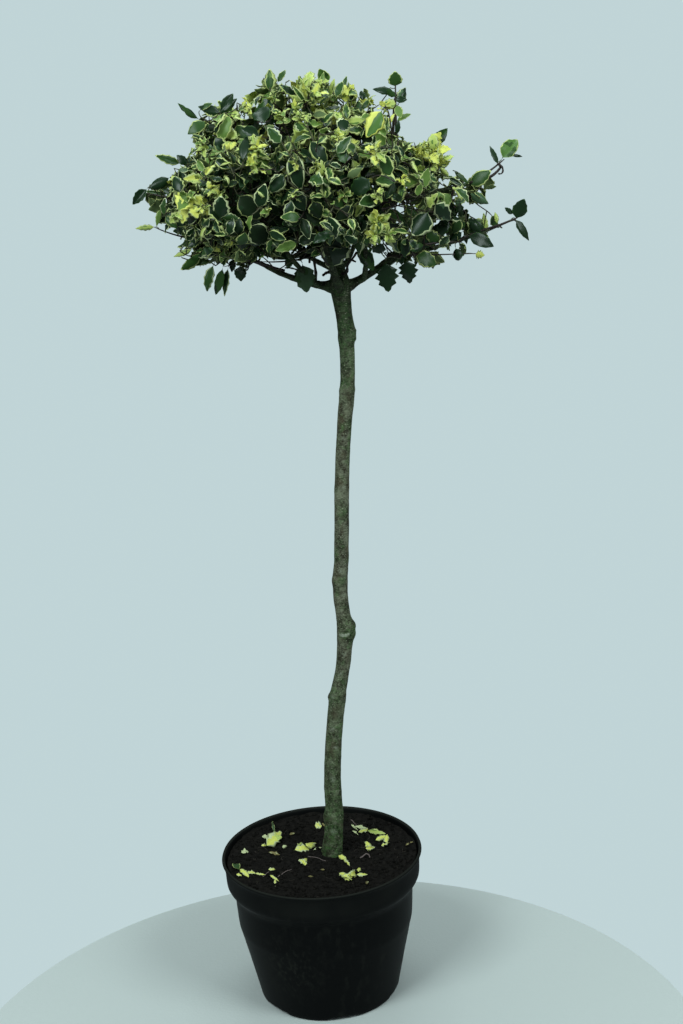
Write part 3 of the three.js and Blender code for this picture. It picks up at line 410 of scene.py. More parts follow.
def a_length(name, description, default):
    """A length that a user can change, in metres."""
    return bpy.props.FloatProperty(
        name=name, description=description, unit="LENGTH", default=default)


def an_angle(name, description, degrees):
    """An angle that a user can change."""
    return bpy.props.FloatProperty(
        name=name, description=description, subtype="ANGLE", default=math.radians(degrees))


def a_number(name, description, default, unit="NONE"):
    """A number from 0 up that a user can change."""
    return bpy.props.FloatProperty(
        name=name, description=description, unit=unit, default=default, min=0)


def a_count(name, description, default, least=0):
    """A whole number that a user can change."""
    return bpy.props.IntProperty(name=name, description=description, default=default, min=least)


class HollyPotSettings(bpy.types.PropertyGroup):
    """Sizes and colours of the pot."""

    height: a_length("Height", "From the floor to the top of the lip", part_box("pot")[1].z)
    segments: a_count("Segments", "Steps round the pot", 144, 24)
    colour: a_colour("Plastic", "Colour of the black plastic", (0.0043, 0.0047, 0.0049))
    # this colour also paints the sheen on the collar and the highlight along the top of the lip
    dust_and_highlight_colour: a_colour("Dust", "Colour of the dust and water marks", (0.02, 0.021, 0.018))


class HollyCompostSettings(bpy.types.PropertyGroup):
    """The compost and what lies on it."""

    crumbs: a_count("Crumbs", "Loose crumbs on the compost", 1500)
    fibres: a_count("Fibres", "Fine fibres on the compost", 46)
    colour: a_colour("Compost", "Colour of the damp compost", (0.0042, 0.0036, 0.0031))
    fibre_colour: a_colour("Fibres", "Straw brown of the fibres", (0.045, 0.035, 0.027))
    stick_colour: a_colour("Sticks", "Dry brown of the fallen twigs", (0.16, 0.12, 0.115))
    seed: a_count("Seed", "Deals out the crumbs", 41)


class HollyStemSettings(bpy.types.PropertyGroup):
    """The stem and the main boughs."""

    rows: a_count("Rows", "Rows of faces up the stem", 430, 60)
    sides: a_count("Sides", "Faces round the stem", 48, 12)
    relief: a_length("Relief", "Depth of the bark's relief", 0.00055)
    bark_colour: a_colour("Bark", "Grey-brown of the bark", (0.093, 0.096, 0.067))
    algae_colour: a_colour("Algae", "Green film on the bark", (0.05, 0.106, 0.031))
    scar_colour: a_colour("Scars", "Pale marks on the bark", (0.3, 0.33, 0.25))


class HollyCrownSettings(bpy.types.PropertyGroup):
    """Twigs and leaves."""

    seed: a_count("Seed", "Deals out twigs and leaves", 7)
    leaf_length: a_length("Leaf length", "Length of a usual leaf", 0.038)
    leaf_width: a_length("Leaf width", "Width of a usual leaf", 0.0215)
    twig_share: a_number("Twigs", "Side twigs for each one in the solids", 1.6)
    tries: a_count("Tries", "Places looked at for shoots that fill empty spaces", 9000)
    clear: a_length("Clear", "Distance from any leaf's middle that counts as empty", 0.0145)
    twig_colour: a_colour("Twigs", "Purplish brown of the twigs", (0.026, 0.016, 0.013))
    young_colour: a_colour("Young twigs", "Green of this year's shoots", (0.06, 0.06, 0.026))


for skin_key, skin_row in LEAF_SKINS.items():
    HollyCrownSettings.__annotations__[skin_key + "_colour"] = a_colour(*skin_row[:3])


class HollyStageSettings(bpy.types.PropertyGroup):
    """Floor, light and camera."""

    floor_radius: a_length("Floor radius", "Radius of the round floor", 0.607)
    floor_colour: a_colour("Floor", "Pale floor", (0.62, 0.66, 0.65))
    air_colour: a_colour("Background", "Pale background", (0.53, 0.66, 0.68))
    key_power: a_number("Key light", "Soft light from the upper left", 62.0, "POWER")
    fill_power: a_number("Fill light", "Soft light from the upper right", 40.0, "POWER")
    top_power: a_number("Top light", "Soft light from above", 26.0, "POWER")
    camera_place: bpy.props.FloatVectorProperty(
        name="Camera", description="Where the camera stands", subtype="XYZ", unit="LENGTH",
        default=tuple(EYE * MM))
    pitch: an_angle("Pitch", "How far the camera looks down", 14.55)
    yaw: an_angle("Yaw", "How far it looks to the right", 1.61)
    roll: an_angle("Roll", "How far it is tilted", -3.39)
    lens: a_number("Lens", "Focal length on a 36 mm sensor, in millimetres", 54.49, "CAMERA")


# ---- numbers and noise


def scatter(places, seed):
    """A repeatable number from 0 to 1 for each whole-number place (n, 3): the place's three
    numbers are multiplied by large odd numbers, added and mixed by shifts and products."""
    x, y, z = places[..., 0], places[..., 1], places[..., 2]
    mixed = (x * 374761393 + y * 668265263 + z * 2246822519 + seed * 3266489917) & 0xFFFFFFFF
    mixed = ((mixed ^ (mixed >> 13)) * 1274126177) & 0xFFFFFFFF
    return ((mixed ^ (mixed >> 16)) & 0xFFFF) / 65535.0


def noise(points, size, seed):
    """Smooth noise from -1 to 1 with features of about the given size: the numbers at the
    eight lattice corners round a point, weighed by 3f^2 - 2f^3 of its place f between them."""
    scaled = np.asarray(points, float) / np.asarray(size, float)
    low = np.floor(scaled).astype(np.int64)
    share = scaled - low
    share = share * share * (3 - 2 * share)
    total = np.zeros(scaled.shape[:-1])
    for corner in np.ndindex(2, 2, 2):
        step = np.array(corner)
        weight = np.prod(np.where(step == 1, share, 1 - share), axis=-1)
        total += weight * scatter(low + step, seed)
    return 2 * total - 1


def smooth(low, high, value):
    """0 under low, 1 over high, and 3t^2 - 2t^3 between."""
    share = np.clip((value - low) / (high - low), 0, 1)
    return share * share * (3 - 2 * share)


def bell(value, middle, spread):
    """1 at the middle, falling on both sides as exp(-((value - middle) / spread)^2)."""
    return np.exp(-(((value - middle) / spread) ** 2))


def noise_along(run, size, seed):
    """Noise along a line."""
    return noise(np.stack([run, 0 * run, 0 * run], -1), size, seed)


def unit(vectors):
    """Vectors divided by their lengths."""
    return vectors / np.maximum(np.linalg.norm(vectors, axis=-1, keepdims=True), 1e-9)


def read_curve(rows, places):
    """A curve through (place, value) rows: cubic Hermite pieces, whose slope at a row is that
    of the line between its two neighbours."""
    x, y = np.array(rows, float).T
    slope = np.gradient(y, x)
    slope[1:-1] = (y[2:] - y[:-2]) / (x[2:] - x[:-2])
    i = np.clip(np.searchsorted(x, places) - 1, 0, len(x) - 2)
    span = x[i + 1] - x[i]
    t = (places - x[i]) / span
    start = (1 + 2 * t) * (1 - t) ** 2 * y[i] + t * (1 - t) ** 2 * span * slope[i]
    return start + t * t * (3 - 2 * t) * y[i + 1] + t * t * (t - 1) * span * slope[i + 1]


def bezier(start, control, end, shares):
    """Points of a quadratic curve: (1-t)^2 start + 2t(1-t) control + t^2 end."""
    t = np.asarray(shares, float)[:, None]
    start, control, end = (np.asarray(p, float) for p in (start, control, end))
    return (1 - t) ** 2 * start + 2 * t * (1 - t) * control + t * t * end


def turns(count):
    """Angles set evenly round a circle."""
    return np.arange(count) * 2 * np.pi / count


def round_points(radius, angle, height):
    """Points at (radius cos angle, radius sin angle, height)."""
    across, deep = radius * np.cos(angle), radius * np.sin(angle)
    return np.stack(np.broadcast_arrays(across, deep, height), -1)


def run_along(path):
    """The distance from a path's first point to each of its points."""
    return np.concatenate([[0], np.cumsum(np.linalg.norm(np.diff(path, axis=0), axis=1))])


def read_path(path, run, places):
    """The points of a path at places of its run."""
    return np.stack([np.interp(places, run, column) for column in path.T], -1)


def resample(points, count):
    """Points set evenly along a line through the given points, its corners rounded by
    cutting each twice at a quarter and three quarters of its sides."""
    line = np.asarray(points, float)
    for _ in range(2):
        cut = np.stack([0.75 * line[:-1] + 0.25 * line[1:], 0.25 * line[:-1] + 0.75 * line[1:]], 1)
        line = np.concatenate([line[:1], cut.reshape(-1, line.shape[1]), line[-1:]])
    run = run_along(line)
    return read_path(line, run, np.linspace(0, run[-1], count))


# ---- meshes


def put(name, data):
    """A new object in the scene."""
    item = bpy.data.objects.new(name, data)
    bpy.context.scene.collection.objects.link(item)
    return item


def make_object(name, points, faces, materials, slots=None):
    """An object from points (n, 3) in millimetres and a list of face arrays, each (m, 3) or
    (m, 4), with a material slot for every face."""
    mesh = bpy.data.meshes.new(name)
    counts = np.concatenate([np.full(len(f), f.shape[1]) for f in faces])
    corners = np.concatenate([f.reshape(-1) for f in faces])
    mesh.vertices.add(len(points))
    mesh.loops.add(len(corners))
    mesh.polygons.add(len(counts))
    mesh.vertices.foreach_set("co", (points * MM).astype(np.float32).reshape(-1))
    mesh.polygons.foreach_set("loop_start", (np.cumsum(counts) - counts).astype(np.int32))
    mesh.loops.foreach_set("vertex_index", corners.astype(np.int32))
    for material in materials:
        mesh.materials.append(material)
    if slots is not None:
        mesh.polygons.foreach_set("material_index", slots.astype(np.int32))
    mesh.update(calc_edges=True)
    mesh.shade_smooth()
    return put(name, mesh)


def make_piece(*plan):
    """An object that is a piece of the plant, and rides on its one body."""
    piece = make_object(*plan)
    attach(piece, "root")
    return piece


def repeated(faces, count, size):
    """The faces of one shape, said again for each of many like shapes of so many points."""
    start = (np.arange(count) * size)[:, None, None]
    return [(start + each[None]).reshape(-1, each.shape[1]) for each in faces]


def closed_skins(skins, ends):
    """Points and faces of closed surfaces: grids of points (n, rows, around, 3), whose last
    column joins the first, with two end points each (n, 2, 3) that close the first and the
    last row with a fan."""
    count, rows, around = skins.shape[:3]
    a = np.arange(around)
    b = (a + 1) % around
    low = np.arange(rows - 1)[:, None] * around
    quads = np.stack([low + a, low + b, low + around + b, low + around + a], -1).reshape(-1, 4)
    last, size = (rows - 1) * around, rows * around + 2
    foot = np.stack([np.full(around, size - 2), b, a], 1)
    head = np.stack([np.full(around, size - 1), last + a, last + b], 1)
    points = np.concatenate([skins.reshape(count, -1, 3), ends], 1)
    return points.reshape(-1, 3), repeated([quads, np.concatenate([foot, head])], count, size)


def bars(paths, radii, sides):
    """Round bars along paths (n, k, 3), with radii (n, k) or (n, k, sides), all at once. A
    ring's point is middle + radius (cos a across + sin a up), where across and up are square
    to the path."""
    radii = radii[:, :, None] if radii.ndim == 2 else radii
    along = unit(np.gradient(paths, axis=1))
    reference = np.eye(3)[np.argmin(np.abs(along.mean(1)), axis=1)][:, None, :]
    across = unit(np.cross(along, reference))
    up = np.cross(along, across)
    angle = turns(sides)[:, None]
    ring = np.cos(angle) * across[:, :, None] + np.sin(angle) * up[:, :, None]
    return closed_skins(paths[:, :, None] + radii[..., None] * ring, paths[:, [0, -1]])


# ---- materials


def times(colour, *shares):
    """A colour times one share, or each of its channels times its own."""
    return tuple(float(value) for value in np.array(colour) * shares)


def new_node(tree, kind, inputs=(), **settings):
    """A new node with its settings. Each input is a socket to link or a plain value."""
    node = tree.nodes.new(kind)
    for key, value in settings.items():
        setattr(node, key, value)
    for key, value in dict(inputs).items():
        if isinstance(value, bpy.types.NodeSocket):
            tree.links.new(value, node.inputs[key])
        else:
            node.inputs[key].default_value = value
    return node


class Finish:
    """A material and the nodes that make its colour, gloss and relief."""

    def __init__(self, name, colour, roughness, specular):
        self.material = bpy.data.materials.new(name)
        self.material.use_nodes = True
        self.material.diffuse_color = (*colour, 1)
        self.tree = self.material.node_tree
        self.shader = self.tree.nodes["Principled BSDF"]
        self.shader.inputs["Base Color"].default_value = (*colour, 1)
        self.shader.inputs["Roughness"].default_value = roughness
        self.shader.inputs["Specular IOR Level"].default_value = specular
        self.place = self.node("ShaderNodeTexCoord").outputs["Object"]

    def node(self, kind, inputs=(), **settings):
        """A new node of the material."""
        return new_node(self.tree, kind, inputs, **settings)

    def drive(self, socket, source):
        """Links a source to a socket of the shader."""
        self.tree.links.new(source, self.shader.inputs[socket])

    def grain(self, scale, detail, stretch=None, roughness=0.55):
        """Noise from 0 to 1 on the place on the object, which may be stretched."""
        place = self.place
        if stretch:
            inputs = {"Vector": place, "Scale": stretch}
            place = self.node("ShaderNodeMapping", inputs).outputs["Vector"]
        inputs = {"Vector": place, "Scale": scale, "Detail": detail, "Roughness": roughness}
        return self.node("ShaderNodeTexNoise", inputs).outputs["Fac"]

    def band(self, source, low, high, out_low=0.0, out_high=1.0):
        """A source carried from low..high to out_low..out_high, and held outside."""
        inputs = {"Value": source, "From Min": low, "From Max": high, "To Min": out_low,
                  "To Max": out_high}
        return self.node("ShaderNodeMapRange", inputs).outputs["Result"]

    def mix(self, share, first, second):
        """A mix of two colours, each a plain colour or a socket."""
        first, second = (colour if isinstance(colour, bpy.types.NodeSocket)
                         else (*colour, 1) for colour in (first, second))
        inputs = {0: share, 6: first, 7: second}
        return self.node("ShaderNodeMix", inputs, data_type="RGBA").outputs[2]

    def chain(self, operation, first, *others):
        """Numbers or sockets joined one after the other by an operation."""
        for other in others:
            inputs = {0: first, 1: other}
            first = self.node("ShaderNodeMath", inputs, operation=operation).outputs[0]
        return first

    def bump(self, height, strength, distance):
        """Fine relief from a height."""
        inputs = {"Height": height, "Strength": strength, "Distance": distance}
        self.drive("Normal", self.node("ShaderNodeBump", inputs).outputs[0])

    def spot(self, centre, radius):
        """1 at a place on the object, falling to 0 at a radius from it."""
        inputs = {0: self.place, 1: times(centre, MM)}
        node = self.node("ShaderNodeVectorMath", inputs, operation="DISTANCE")
        return self.band(node.outputs["Value"], 0.0, MM * radius, 1.0, 0.0)

    def height(self):
        """The height over the floor, in metres."""
        return self.node("ShaderNodeSeparateXYZ", {0: self.place}).outputs[2]


def plastic(settings):
    """Black plastic with faint dusting, water marks and scuffs, a lighter band on the collar that is partly
    dusting and partly painted sheen, and a painted highlight along the top of the lip.
    """
    skin = Finish("Black pot plastic", settings.colour, 0.5, 0.035)
    marks = skin.band(skin.grain(62, 5, (1, 1, 0.45)), 0.53, 0.76)
    cloud = skin.band(skin.grain(9, 3), 0.38, 0.72)
    specks = skin.band(skin.grain(260, 3), 0.66, 0.78, 0.0, 0.6)
    fine = skin.band(skin.grain(150, 4, (1, 1, 0.6)), 0.5, 0.66)
    streaked = skin.chain("MULTIPLY", skin.spot(SCUFF_PLACE, SCUFF_RADIUS), 0.9, fine)
    height = skin.height()
    # dusting on the collar's top, and partly a painted sheen where the collar looks lighter
    collar = skin.chain("MULTIPLY", skin.band(height, 0.205, 0.22, 0.0, 0.4), cloud)
    # painted highlight: a thin pale line along the top of the lip
    lip = skin.band(height, 0.2505, 0.2525, 0.0, 0.9)
    marks = skin.chain("MULTIPLY", marks, cloud)
    # the dusting, water marks and scuffs, together with the painted sheen on the collar and the painted
    # highlight on the lip
    dust_and_highlight = skin.chain("MAXIMUM", marks, specks, streaked, collar, lip)
    skin.drive("Base Color", skin.mix(dust_and_highlight, settings.colour, settings.dust_and_highlight_colour))
    skin.drive("Roughness", skin.band(dust_and_highlight, 0.0, 1.0, 0.46, 0.7))
    skin.bump(skin.grain(420, 3), 0.12, 0.0004)
    return skin.material


def earth(settings):
    """Damp compost: nearly black, with browner crumbs."""
    skin = Finish("Damp compost", settings.colour, 0.9, 0.08)
    cloud = skin.band(skin.grain(150, 5), 0.35, 0.75)
    skin.drive("Base Color", skin.mix(cloud, settings.colour, times(settings.colour, 3.6)))
    skin.bump(skin.grain(520, 5), 0.7, 0.0012)
    return skin.material


def bark(settings, name, dark=1.0, green=1.0):
    """Bark: mottled grey-brown, crossed by fine rings, with pale flecks, a green film that
    thickens towards the foot, the fork and the knots, and pale scars. Over the top, towards
    the fork, it is darkened by painted shade from the crown."""
    colour = times(settings.bark_colour, dark)
    brown = times(colour, 0.34, 0.28, 0.24)
    skin = Finish(name, colour, 0.8, 0.2)
    fine = skin.grain(330, 5, (1, 1, 1.7))
    broad = skin.grain(85, 4, (1, 1, 0.7))
    shade = skin.chain("MULTIPLY", skin.chain("ADD", fine, broad), 0.5)
    base = skin.mix(skin.band(shade, 0.41, 0.6), brown, times(colour, 2.15))
    rust = skin.band(skin.grain(48, 4, (1, 1, 0.6)), 0.52, 0.68, 0.0, 0.6)
    base = skin.mix(rust, base, times(colour, 0.8, 0.56, 0.46))
    height = skin.height()
    low = skin.band(height, 0.25, 0.58, 1.0, 0.12)
    top = skin.band(height, 0.98, 1.12, 0.0, 0.95)
    cloud = skin.band(skin.grain(34, 4), 0.46, 0.62, 0.0, 0.8)
    knots = [skin.spot(place, GREEN_KNOT_RADIUS) for place in GREEN_KNOTS]
    algae = skin.chain("MAXIMUM", low, top, cloud, *knots)
    patchy = skin.band(skin.grain(120, 4), 0.32, 0.6, 0.25, 1.0)
    algae = skin.chain("MULTIPLY", algae, patchy, green)
    dim, bright = times(settings.algae_colour, 0.24), times(settings.algae_colour, 1.5)
    base = skin.mix(algae, base, skin.mix(skin.band(shade, 0.41, 0.59), dim, bright))
    # painted shade: from 1 m up, the bark darkens towards the fork under the crown
    base = skin.mix(skin.band(height, 1.0, 1.16, 0.0, 0.36), base, times(colour, 0.12))
    level = skin.grain(75, 2, (0.06, 0.06, 1), 0.4)
    lines = skin.chain("MULTIPLY", skin.band(level, 0.47, 0.5),
                       skin.band(level, 0.5, 0.53, 1.0, 0.0),
                       skin.band(broad, 0.42, 0.58, 0.1, 0.6))
    base = skin.mix(lines, base, brown)
    place = skin.node("ShaderNodeMapping", {"Vector": skin.place, "Scale": (1, 1, 1.5)}).outputs[0]
    cells = skin.node("ShaderNodeTexVoronoi", {"Vector": place, "Scale": 190.0}).outputs[0]
    flecks = skin.chain("MULTIPLY", skin.band(cells, 0.12, 0.28, 1.0, 0.0),
                        skin.band(skin.grain(60, 3), 0.42, 0.56))
    base = skin.mix(skin.chain("MULTIPLY", flecks, 0.8), base, times(colour, 3.4))
    broken = skin.band(skin.grain(260, 4), 0.4, 0.55)
    for *centre, radius, strength in SCARS:
        scar = skin.chain("MULTIPLY", skin.spot(centre, radius), strength, broken)
        base = skin.mix(scar, base, settings.scar_colour)
    skin.drive("Base Color", base)
    relief = skin.chain("ADD", fine, skin.chain("MULTIPLY", flecks, 0.3),
                        skin.chain("MULTIPLY", lines, -0.5))
    skin.bump(relief, 0.7, 0.0012)
    return skin.material


def wood(name, colour, roughness):
    """Smooth skin of twigs: one plain colour with a fine grain."""
    skin = Finish(name, colour, roughness, 0.4)
    skin.bump(skin.grain(700, 3), 0.25, 0.0003)
    return skin.material


def leaf_skins(settings):
    """The skins that leaves are dealt from, in the order of their table: each one plain
    colour, with a soft gloss and faint veins."""
    skins = []
    for key, (name, _, _, roughness, gloss) in LEAF_SKINS.items():
        skin = Finish(name, getattr(settings, key + "_colour"), roughness, gloss)
        skin.bump(skin.grain(210, 3, roughness=0.5), 0.16, 0.0007)
        skins.append(skin.material)
    return skins


# ---- pot and compost


def arch_lift(angle, radius):
    """Height of the drain arches over the floor: near the foot's edge, half an ellipse in the
    distance round the foot from the nearest arch's middle."""
    step = 2 * np.pi / ARCH_COUNT
    turn = (angle + np.pi / 2 - ARCH_TURN + step / 2) % step - step / 2
    share = np.clip(1 - (turn * POT_FOOT_RADIUS / ARCH_HALF_WIDTH) ** 2, 0, 1)
    deep = smooth(POT_FOOT_RADIUS - ARCH_DEPTH - 6, POT_FOOT_RADIUS - ARCH_DEPTH + 2, radius)
    return ARCH_HEIGHT * np.sqrt(share) * deep


def soil_height(x, y):
    """The compost's surface: level round the stem, heaped a little against the wall, with lumps
    made of three sizes of noise."""
    level = SOIL_LEVEL + SOIL_EDGE_RISE * smooth(*SOIL_HEAP, np.hypot(x, y))
    flat = np.stack([x, y, np.zeros_like(x)], -1)
    lumps = sum(rise * noise(flat, size, seed) for rise, size, seed in SOIL_LUMPS)
    return level + lumps - SOIL_SINK


def on_compost(points):
    """Points (..., 3) with heights over the compost, carried to heights over the floor."""
    points = np.array(points, float)
    points[..., 2] += soil_height(points[..., 0], points[..., 1])
    return points


def pebbles(centres, radii, seed):
    """Rough crumbs, all at once: a ball of three rings of six points and two poles, whose
    radius is the crumb's times 1 plus noise."""
    sides = 6
    tilt = np.array([[0.75], [0.5], [0.25]]) * np.pi
    rings = round_points(np.sin(tilt), turns(sides), np.cos(tilt)).reshape(-1, 3)
    ball = np.concatenate([rings, [[0, 0, -1], [0, 0, 1]]])
    rough = 1 + 0.35 * noise(ball * 7 + centres[:, None] * 3, 4, seed)
    points = centres[:, None] + radii[:, None] * ball * rough[..., None]
    return closed_skins(points[:, :-2].reshape(-1, len(tilt), sides, 3), points[:, -2:])


class HOLLY_OT_pot(bpy.types.Operator):
    """Makes the pot: its profile turned about the axis, with drain arches lifted at the foot"""

    bl_idname = "holly.pot"
    bl_label = "Pot"

    def execute(self, context):
        settings = context.scene.holly_pot
        rows = resample(POT_PROFILE, POT_ROWS)
        rows[:, 1] *= settings.height / MM / POT_PROFILE_HEIGHT
        radius, height = rows[:, :1], rows[:, 1:]
        angle = turns(settings.segments)
        skin = round_points(radius, angle, np.maximum(height, arch_lift(angle, radius)))
        ends = round_points(0, 0, height[[0, -1], 0])
        pot = make_piece("pot_shell", *closed_skins(skin[None], ends[None]), [plastic(settings)])
        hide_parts("pot")
        return {"FINISHED"}


class HOLLY_OT_compost(bpy.types.Operator):
    """Makes the compost: a lumpy disc with a skirt inside the pot, crumbs and fine fibres"""

    bl_idname = "holly.compost"
    bl_label = "Compost"

    def execute(self, context):
        settings = context.scene.holly_compost
        random = np.random.default_rng(settings.seed)
        soil = earth(settings)
        self.make_bed(soil)
        self.make_crumbs(settings, random, soil)
        self.make_fibres(settings, random)
        return {"FINISHED"}

    def make_bed(self, soil):
        """Rings up a skirt inside the pot, then over the surface to its middle."""
        surface = np.linspace(SOIL_RADIUS - BED_CLEARANCE, BED_CLEARANCE, BED_RINGS)
        radius = np.concatenate([[radius for radius, _ in SOIL_SKIRT], surface])
        skin = on_compost(round_points(radius[:, None], turns(BED_SEGMENTS), 0))
        skin[:len(SOIL_SKIRT), :, 2] = [[height] for _, height in SOIL_SKIRT]
        ends = np.stack([(0, 0, SOIL_SKIRT[0][1]), on_compost([(0, 0, 0)])[0]])
        bed = make_piece("compost_bed", *closed_skins(skin[None], ends[None]), [soil])
        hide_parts("compost")

    def make_crumbs(self, settings, random, soil):
        """Crumbs dealt evenly over the surface, few of them large."""
        count = settings.crumbs
        reach = (SOIL_RADIUS - 6) * np.sqrt(random.random(count))
        turn = random.random(count) * 2 * np.pi
        size = 0.9 + 2.6 * random.random(count) ** 2.5
        centres = on_compost(round_points(reach, turn, 0.25 * size))
        radii = size[:, None] * (0.7 + 0.6 * random.random((count, 3)))
        crumbs = make_piece("compost_crumbs", *pebbles(centres, radii, CRUMB_SEED), [soil])

    def make_fibres(self, settings, random):
        """Thin bars that lie on the surface, each bowed as the square of the place along it."""
        count = settings.fibres
        turn, lie = random.random((2, count, 1)) * 2 * np.pi
        reach = (SOIL_RADIUS - 16) * np.sqrt(random.random((count, 1)))
        length = 5 + 16 * random.random((count, 1)) ** 2
        share = np.linspace(-0.5, 0.5, 5)
        paths = round_points(reach, turn, 0.7) + round_points(length * share, lie, 0)
        paths = on_compost(paths + round_points(length * share ** 2, lie + np.pi / 2, 0))
        radii = 0.2 + 0.22 * random.random((count, 1))
        straw = wood("Dry fibre", settings.fibre_colour, 0.8)
        fibres = make_piece("compost_fibres", *bars(paths, radii, FIBRE_SIDES), [straw])


# ---- stem and boughs


def stem_radius(height, angle):
    """The stem's radius: a base radius with smooth steps, a flare at the foot that fades up as
    exp(-height), a bell-shaped swelling at every knot, and at every stub a raised ring round a
    small hollow."""
    radius = STEM_RADIUS + STEM_FLARE * np.exp((SOIL_LEVEL - height) / STEM_FLARE_HEIGHT)
    for low, high, change in STEM_STEPS:
        radius = radius + change * smooth(low, high, height)
    for middle, swell, spread, side, bias in KNOTS:
        facing = (1 + np.cos(angle - math.radians(side))) / 2
        radius = radius + swell * bell(height, middle, spread) * (1 - bias + bias * facing)
    for middle, side, size in STUBS:
        turn = (angle - math.radians(side) + np.pi) % (2 * np.pi) - np.pi
        away = np.hypot(height - middle, STUB_ARM * turn) / size
        radius = radius + 1.1 * bell(away, 1, 0.35) - 0.8 * bell(away, 0, 0.5)
    return radius


def lay_limbs():
    """Every limb's start, control and end point, its radii, and whether it leaves the trunk."""
    limbs = {}
    for name, origin, at, end, bow, radii in LIMBS:
        if origin == "trunk":
            start = np.array([float(read_curve(TRUNK_LINE, np.array([at]))[0]), TRUNK_Y, at])
        else:
            start = bezier(*limbs[origin][:3], [at])[0]
        control = (start + end) / 2 + 2 * np.array(bow, float)
        limbs[name] = (start, control, np.array(end, float), radii, origin == "trunk")
    return limbs


class HOLLY_OT_stem(bpy.types.Operator):
    """Makes the stem and the boughs: rings carried up a line, their radius changed by relief"""

    bl_idname = "holly.stem"
    bl_label = "Stem and boughs"

    def execute(self, context):
        settings = context.scene.holly_stem
        limbs = lay_limbs()
        self.make_stem(settings, limbs)
        self.make_boughs(settings, limbs)
        return {"FINISHED"}

    def make_stem(self, settings, limbs):
        """Level rings from the compost up to the leader's end. A ring's point lies at the
        line's x and y plus its radius, which is the stem's with the leader's blended in over
        the fork, plus bark noise stretched along the stem and thin raised rings."""
        start, control, end, radii, _ = limbs["leader"]
        height = np.linspace(STEM_FOOT, end[2] - 1, settings.rows)[:, None]
        angle = turns(settings.sides)
        leader = bezier(start, control, end, np.linspace(0, 1, LEADER_STEPS)).T
        above = height > TRUNK_TOP
        x = np.where(above, np.interp(height, leader[2], leader[0]),
                     read_curve(TRUNK_LINE, np.minimum(height, TRUNK_TOP)))
        y = np.where(above, np.interp(height, leader[2], leader[1]), TRUNK_Y)
        share = np.clip((height - TRUNK_TOP) / (end[2] - TRUNK_TOP), 0, 1)
        thin = radii[0] + (radii[1] - radii[0]) * share
        fade = smooth(*FORK, height)
        radius = stem_radius(height, angle) * (1 - fade) + thin * fade
        tube = round_points(STEM_RADIUS, angle, height)
        broad, fine, ringed = BARK_SEEDS
        relief = noise(tube, (7, 7, 30), broad) + 0.6 * noise(tube, (3, 3, 9), fine)
        relief = relief + 0.4 * np.clip(noise_along(height, 5.5, ringed), 0.35, 1)
        knobbly = sum(bell(height, middle, 16) for middle in ROUGH_HEIGHTS)
        relief = relief * (1 + 1.6 * np.clip(knobbly, 0, 1))
        radius = radius + settings.relief / MM * (relief - 0.5)
        line = np.concatenate([x, y, height], 1)
        skin = line[:, None] + round_points(radius, angle, 0)
        stem = make_piece("stem", *closed_skins(skin[None], line[None, [0, -1]]),
                          [bark(settings, "Stem bark")])
        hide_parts("trunk", "bough_leader")

    def make_boughs(self, settings, limbs):
        """Bars along the limbs' curves. The radius falls evenly to the tip, flares towards the
        stem as exp(-distance), and swells a little at every old leaf scar."""
        random = np.random.default_rng(BOUGH_SEED)
        share = np.linspace(0, 1, BOUGH_STEPS)
        paths, radii, nodes = [], [], []
        for name, (start, control, end, ends, from_trunk) in limbs.items():
            if name == "leader":
                continue
            path = bezier(start, control, end, share)
            run = run_along(path)
            sway = 1.6 * noise_along(run, 34, random.integers(99))
            calm = np.clip(run / 40, 0, 1) * np.clip((run[-1] - run) / 20, 0, 1)
            path[:, 1] += sway * calm
            path[:, 2] += 0.7 * sway[::-1] * calm
            radius = ends[0] + (ends[1] - ends[0]) * share
            if from_trunk:
                flare = 7.0 if name == "left" else 4.6
                radius = radius + flare * np.exp(-np.maximum(run - 11, 0) / 12)
            else:
                radius = radius + 0.45 * ends[0] * np.exp(-run / 7)
            scars = np.sin(run / 6.2 + random.random() * 6) ** 8
            radius = radius * (1 + 0.09 * scars)
            tube = round_points(4, turns(BOUGH_SIDES), run[:, None])
            radii.append(radius[:, None] + 0.3 * noise(tube, (3, 3, 9), random.integers(99)))
            paths.append(path)
            nodes.append("bough_" + name)
        boughs = make_piece("boughs", *bars(np.stack(paths), np.stack(radii), BOUGH_SIDES),
                            [bark(settings, "Bough bark", 0.62, 0.7)])
        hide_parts(*nodes)


# ---- growth of the crown


def in_space(points, k):
    """Whether points lie in a mass's ellipsoid and nearer to it than to any neighbour, each
    border standing where the two masses' sizes balance."""
    away = points - CENTRES[k]
    inside = np.linalg.norm(away / HALVES[k], axis=-1) <= 1
    for other in range(len(MASSES)):
        if other != k:
            line = CENTRES[other] - CENTRES[k]
            far = np.linalg.norm(line)
            border = (far + (MEAN_HALVES[k] ** 2 - MEAN_HALVES[other] ** 2) / far) / 2
            inside &= away @ line / far < border - SPACE_GAP
    return inside


def mass_shares(points):
    """How near points are to leaving each mass's ellipsoid: under 1 inside, over 1 outside."""
    return np.linalg.norm((points[..., None, :] - CENTRES) / HALVES, axis=-1)


def front_place(points):
    """The x and z where the sight line from the eye through each point meets the stem's
    plane y = 0: eye + (point - eye) times the eye's distance over the point's."""
    share = -EYE[1] / (points[..., 1] - EYE[1])
    return (EYE + (points - EYE) * share[..., None])[..., [0, 2]]


def outline_room(places):
    """How far places seen from the front lie under the crown's top line and over its foot
    line, whichever is less."""
    x, z = places[..., 0], places[..., 1]
    top, foot = (np.interp(x, *np.array(line, float).T) for line in (CROWN_TOP, CROWN_FOOT))
    return np.minimum(top - z, z - foot)


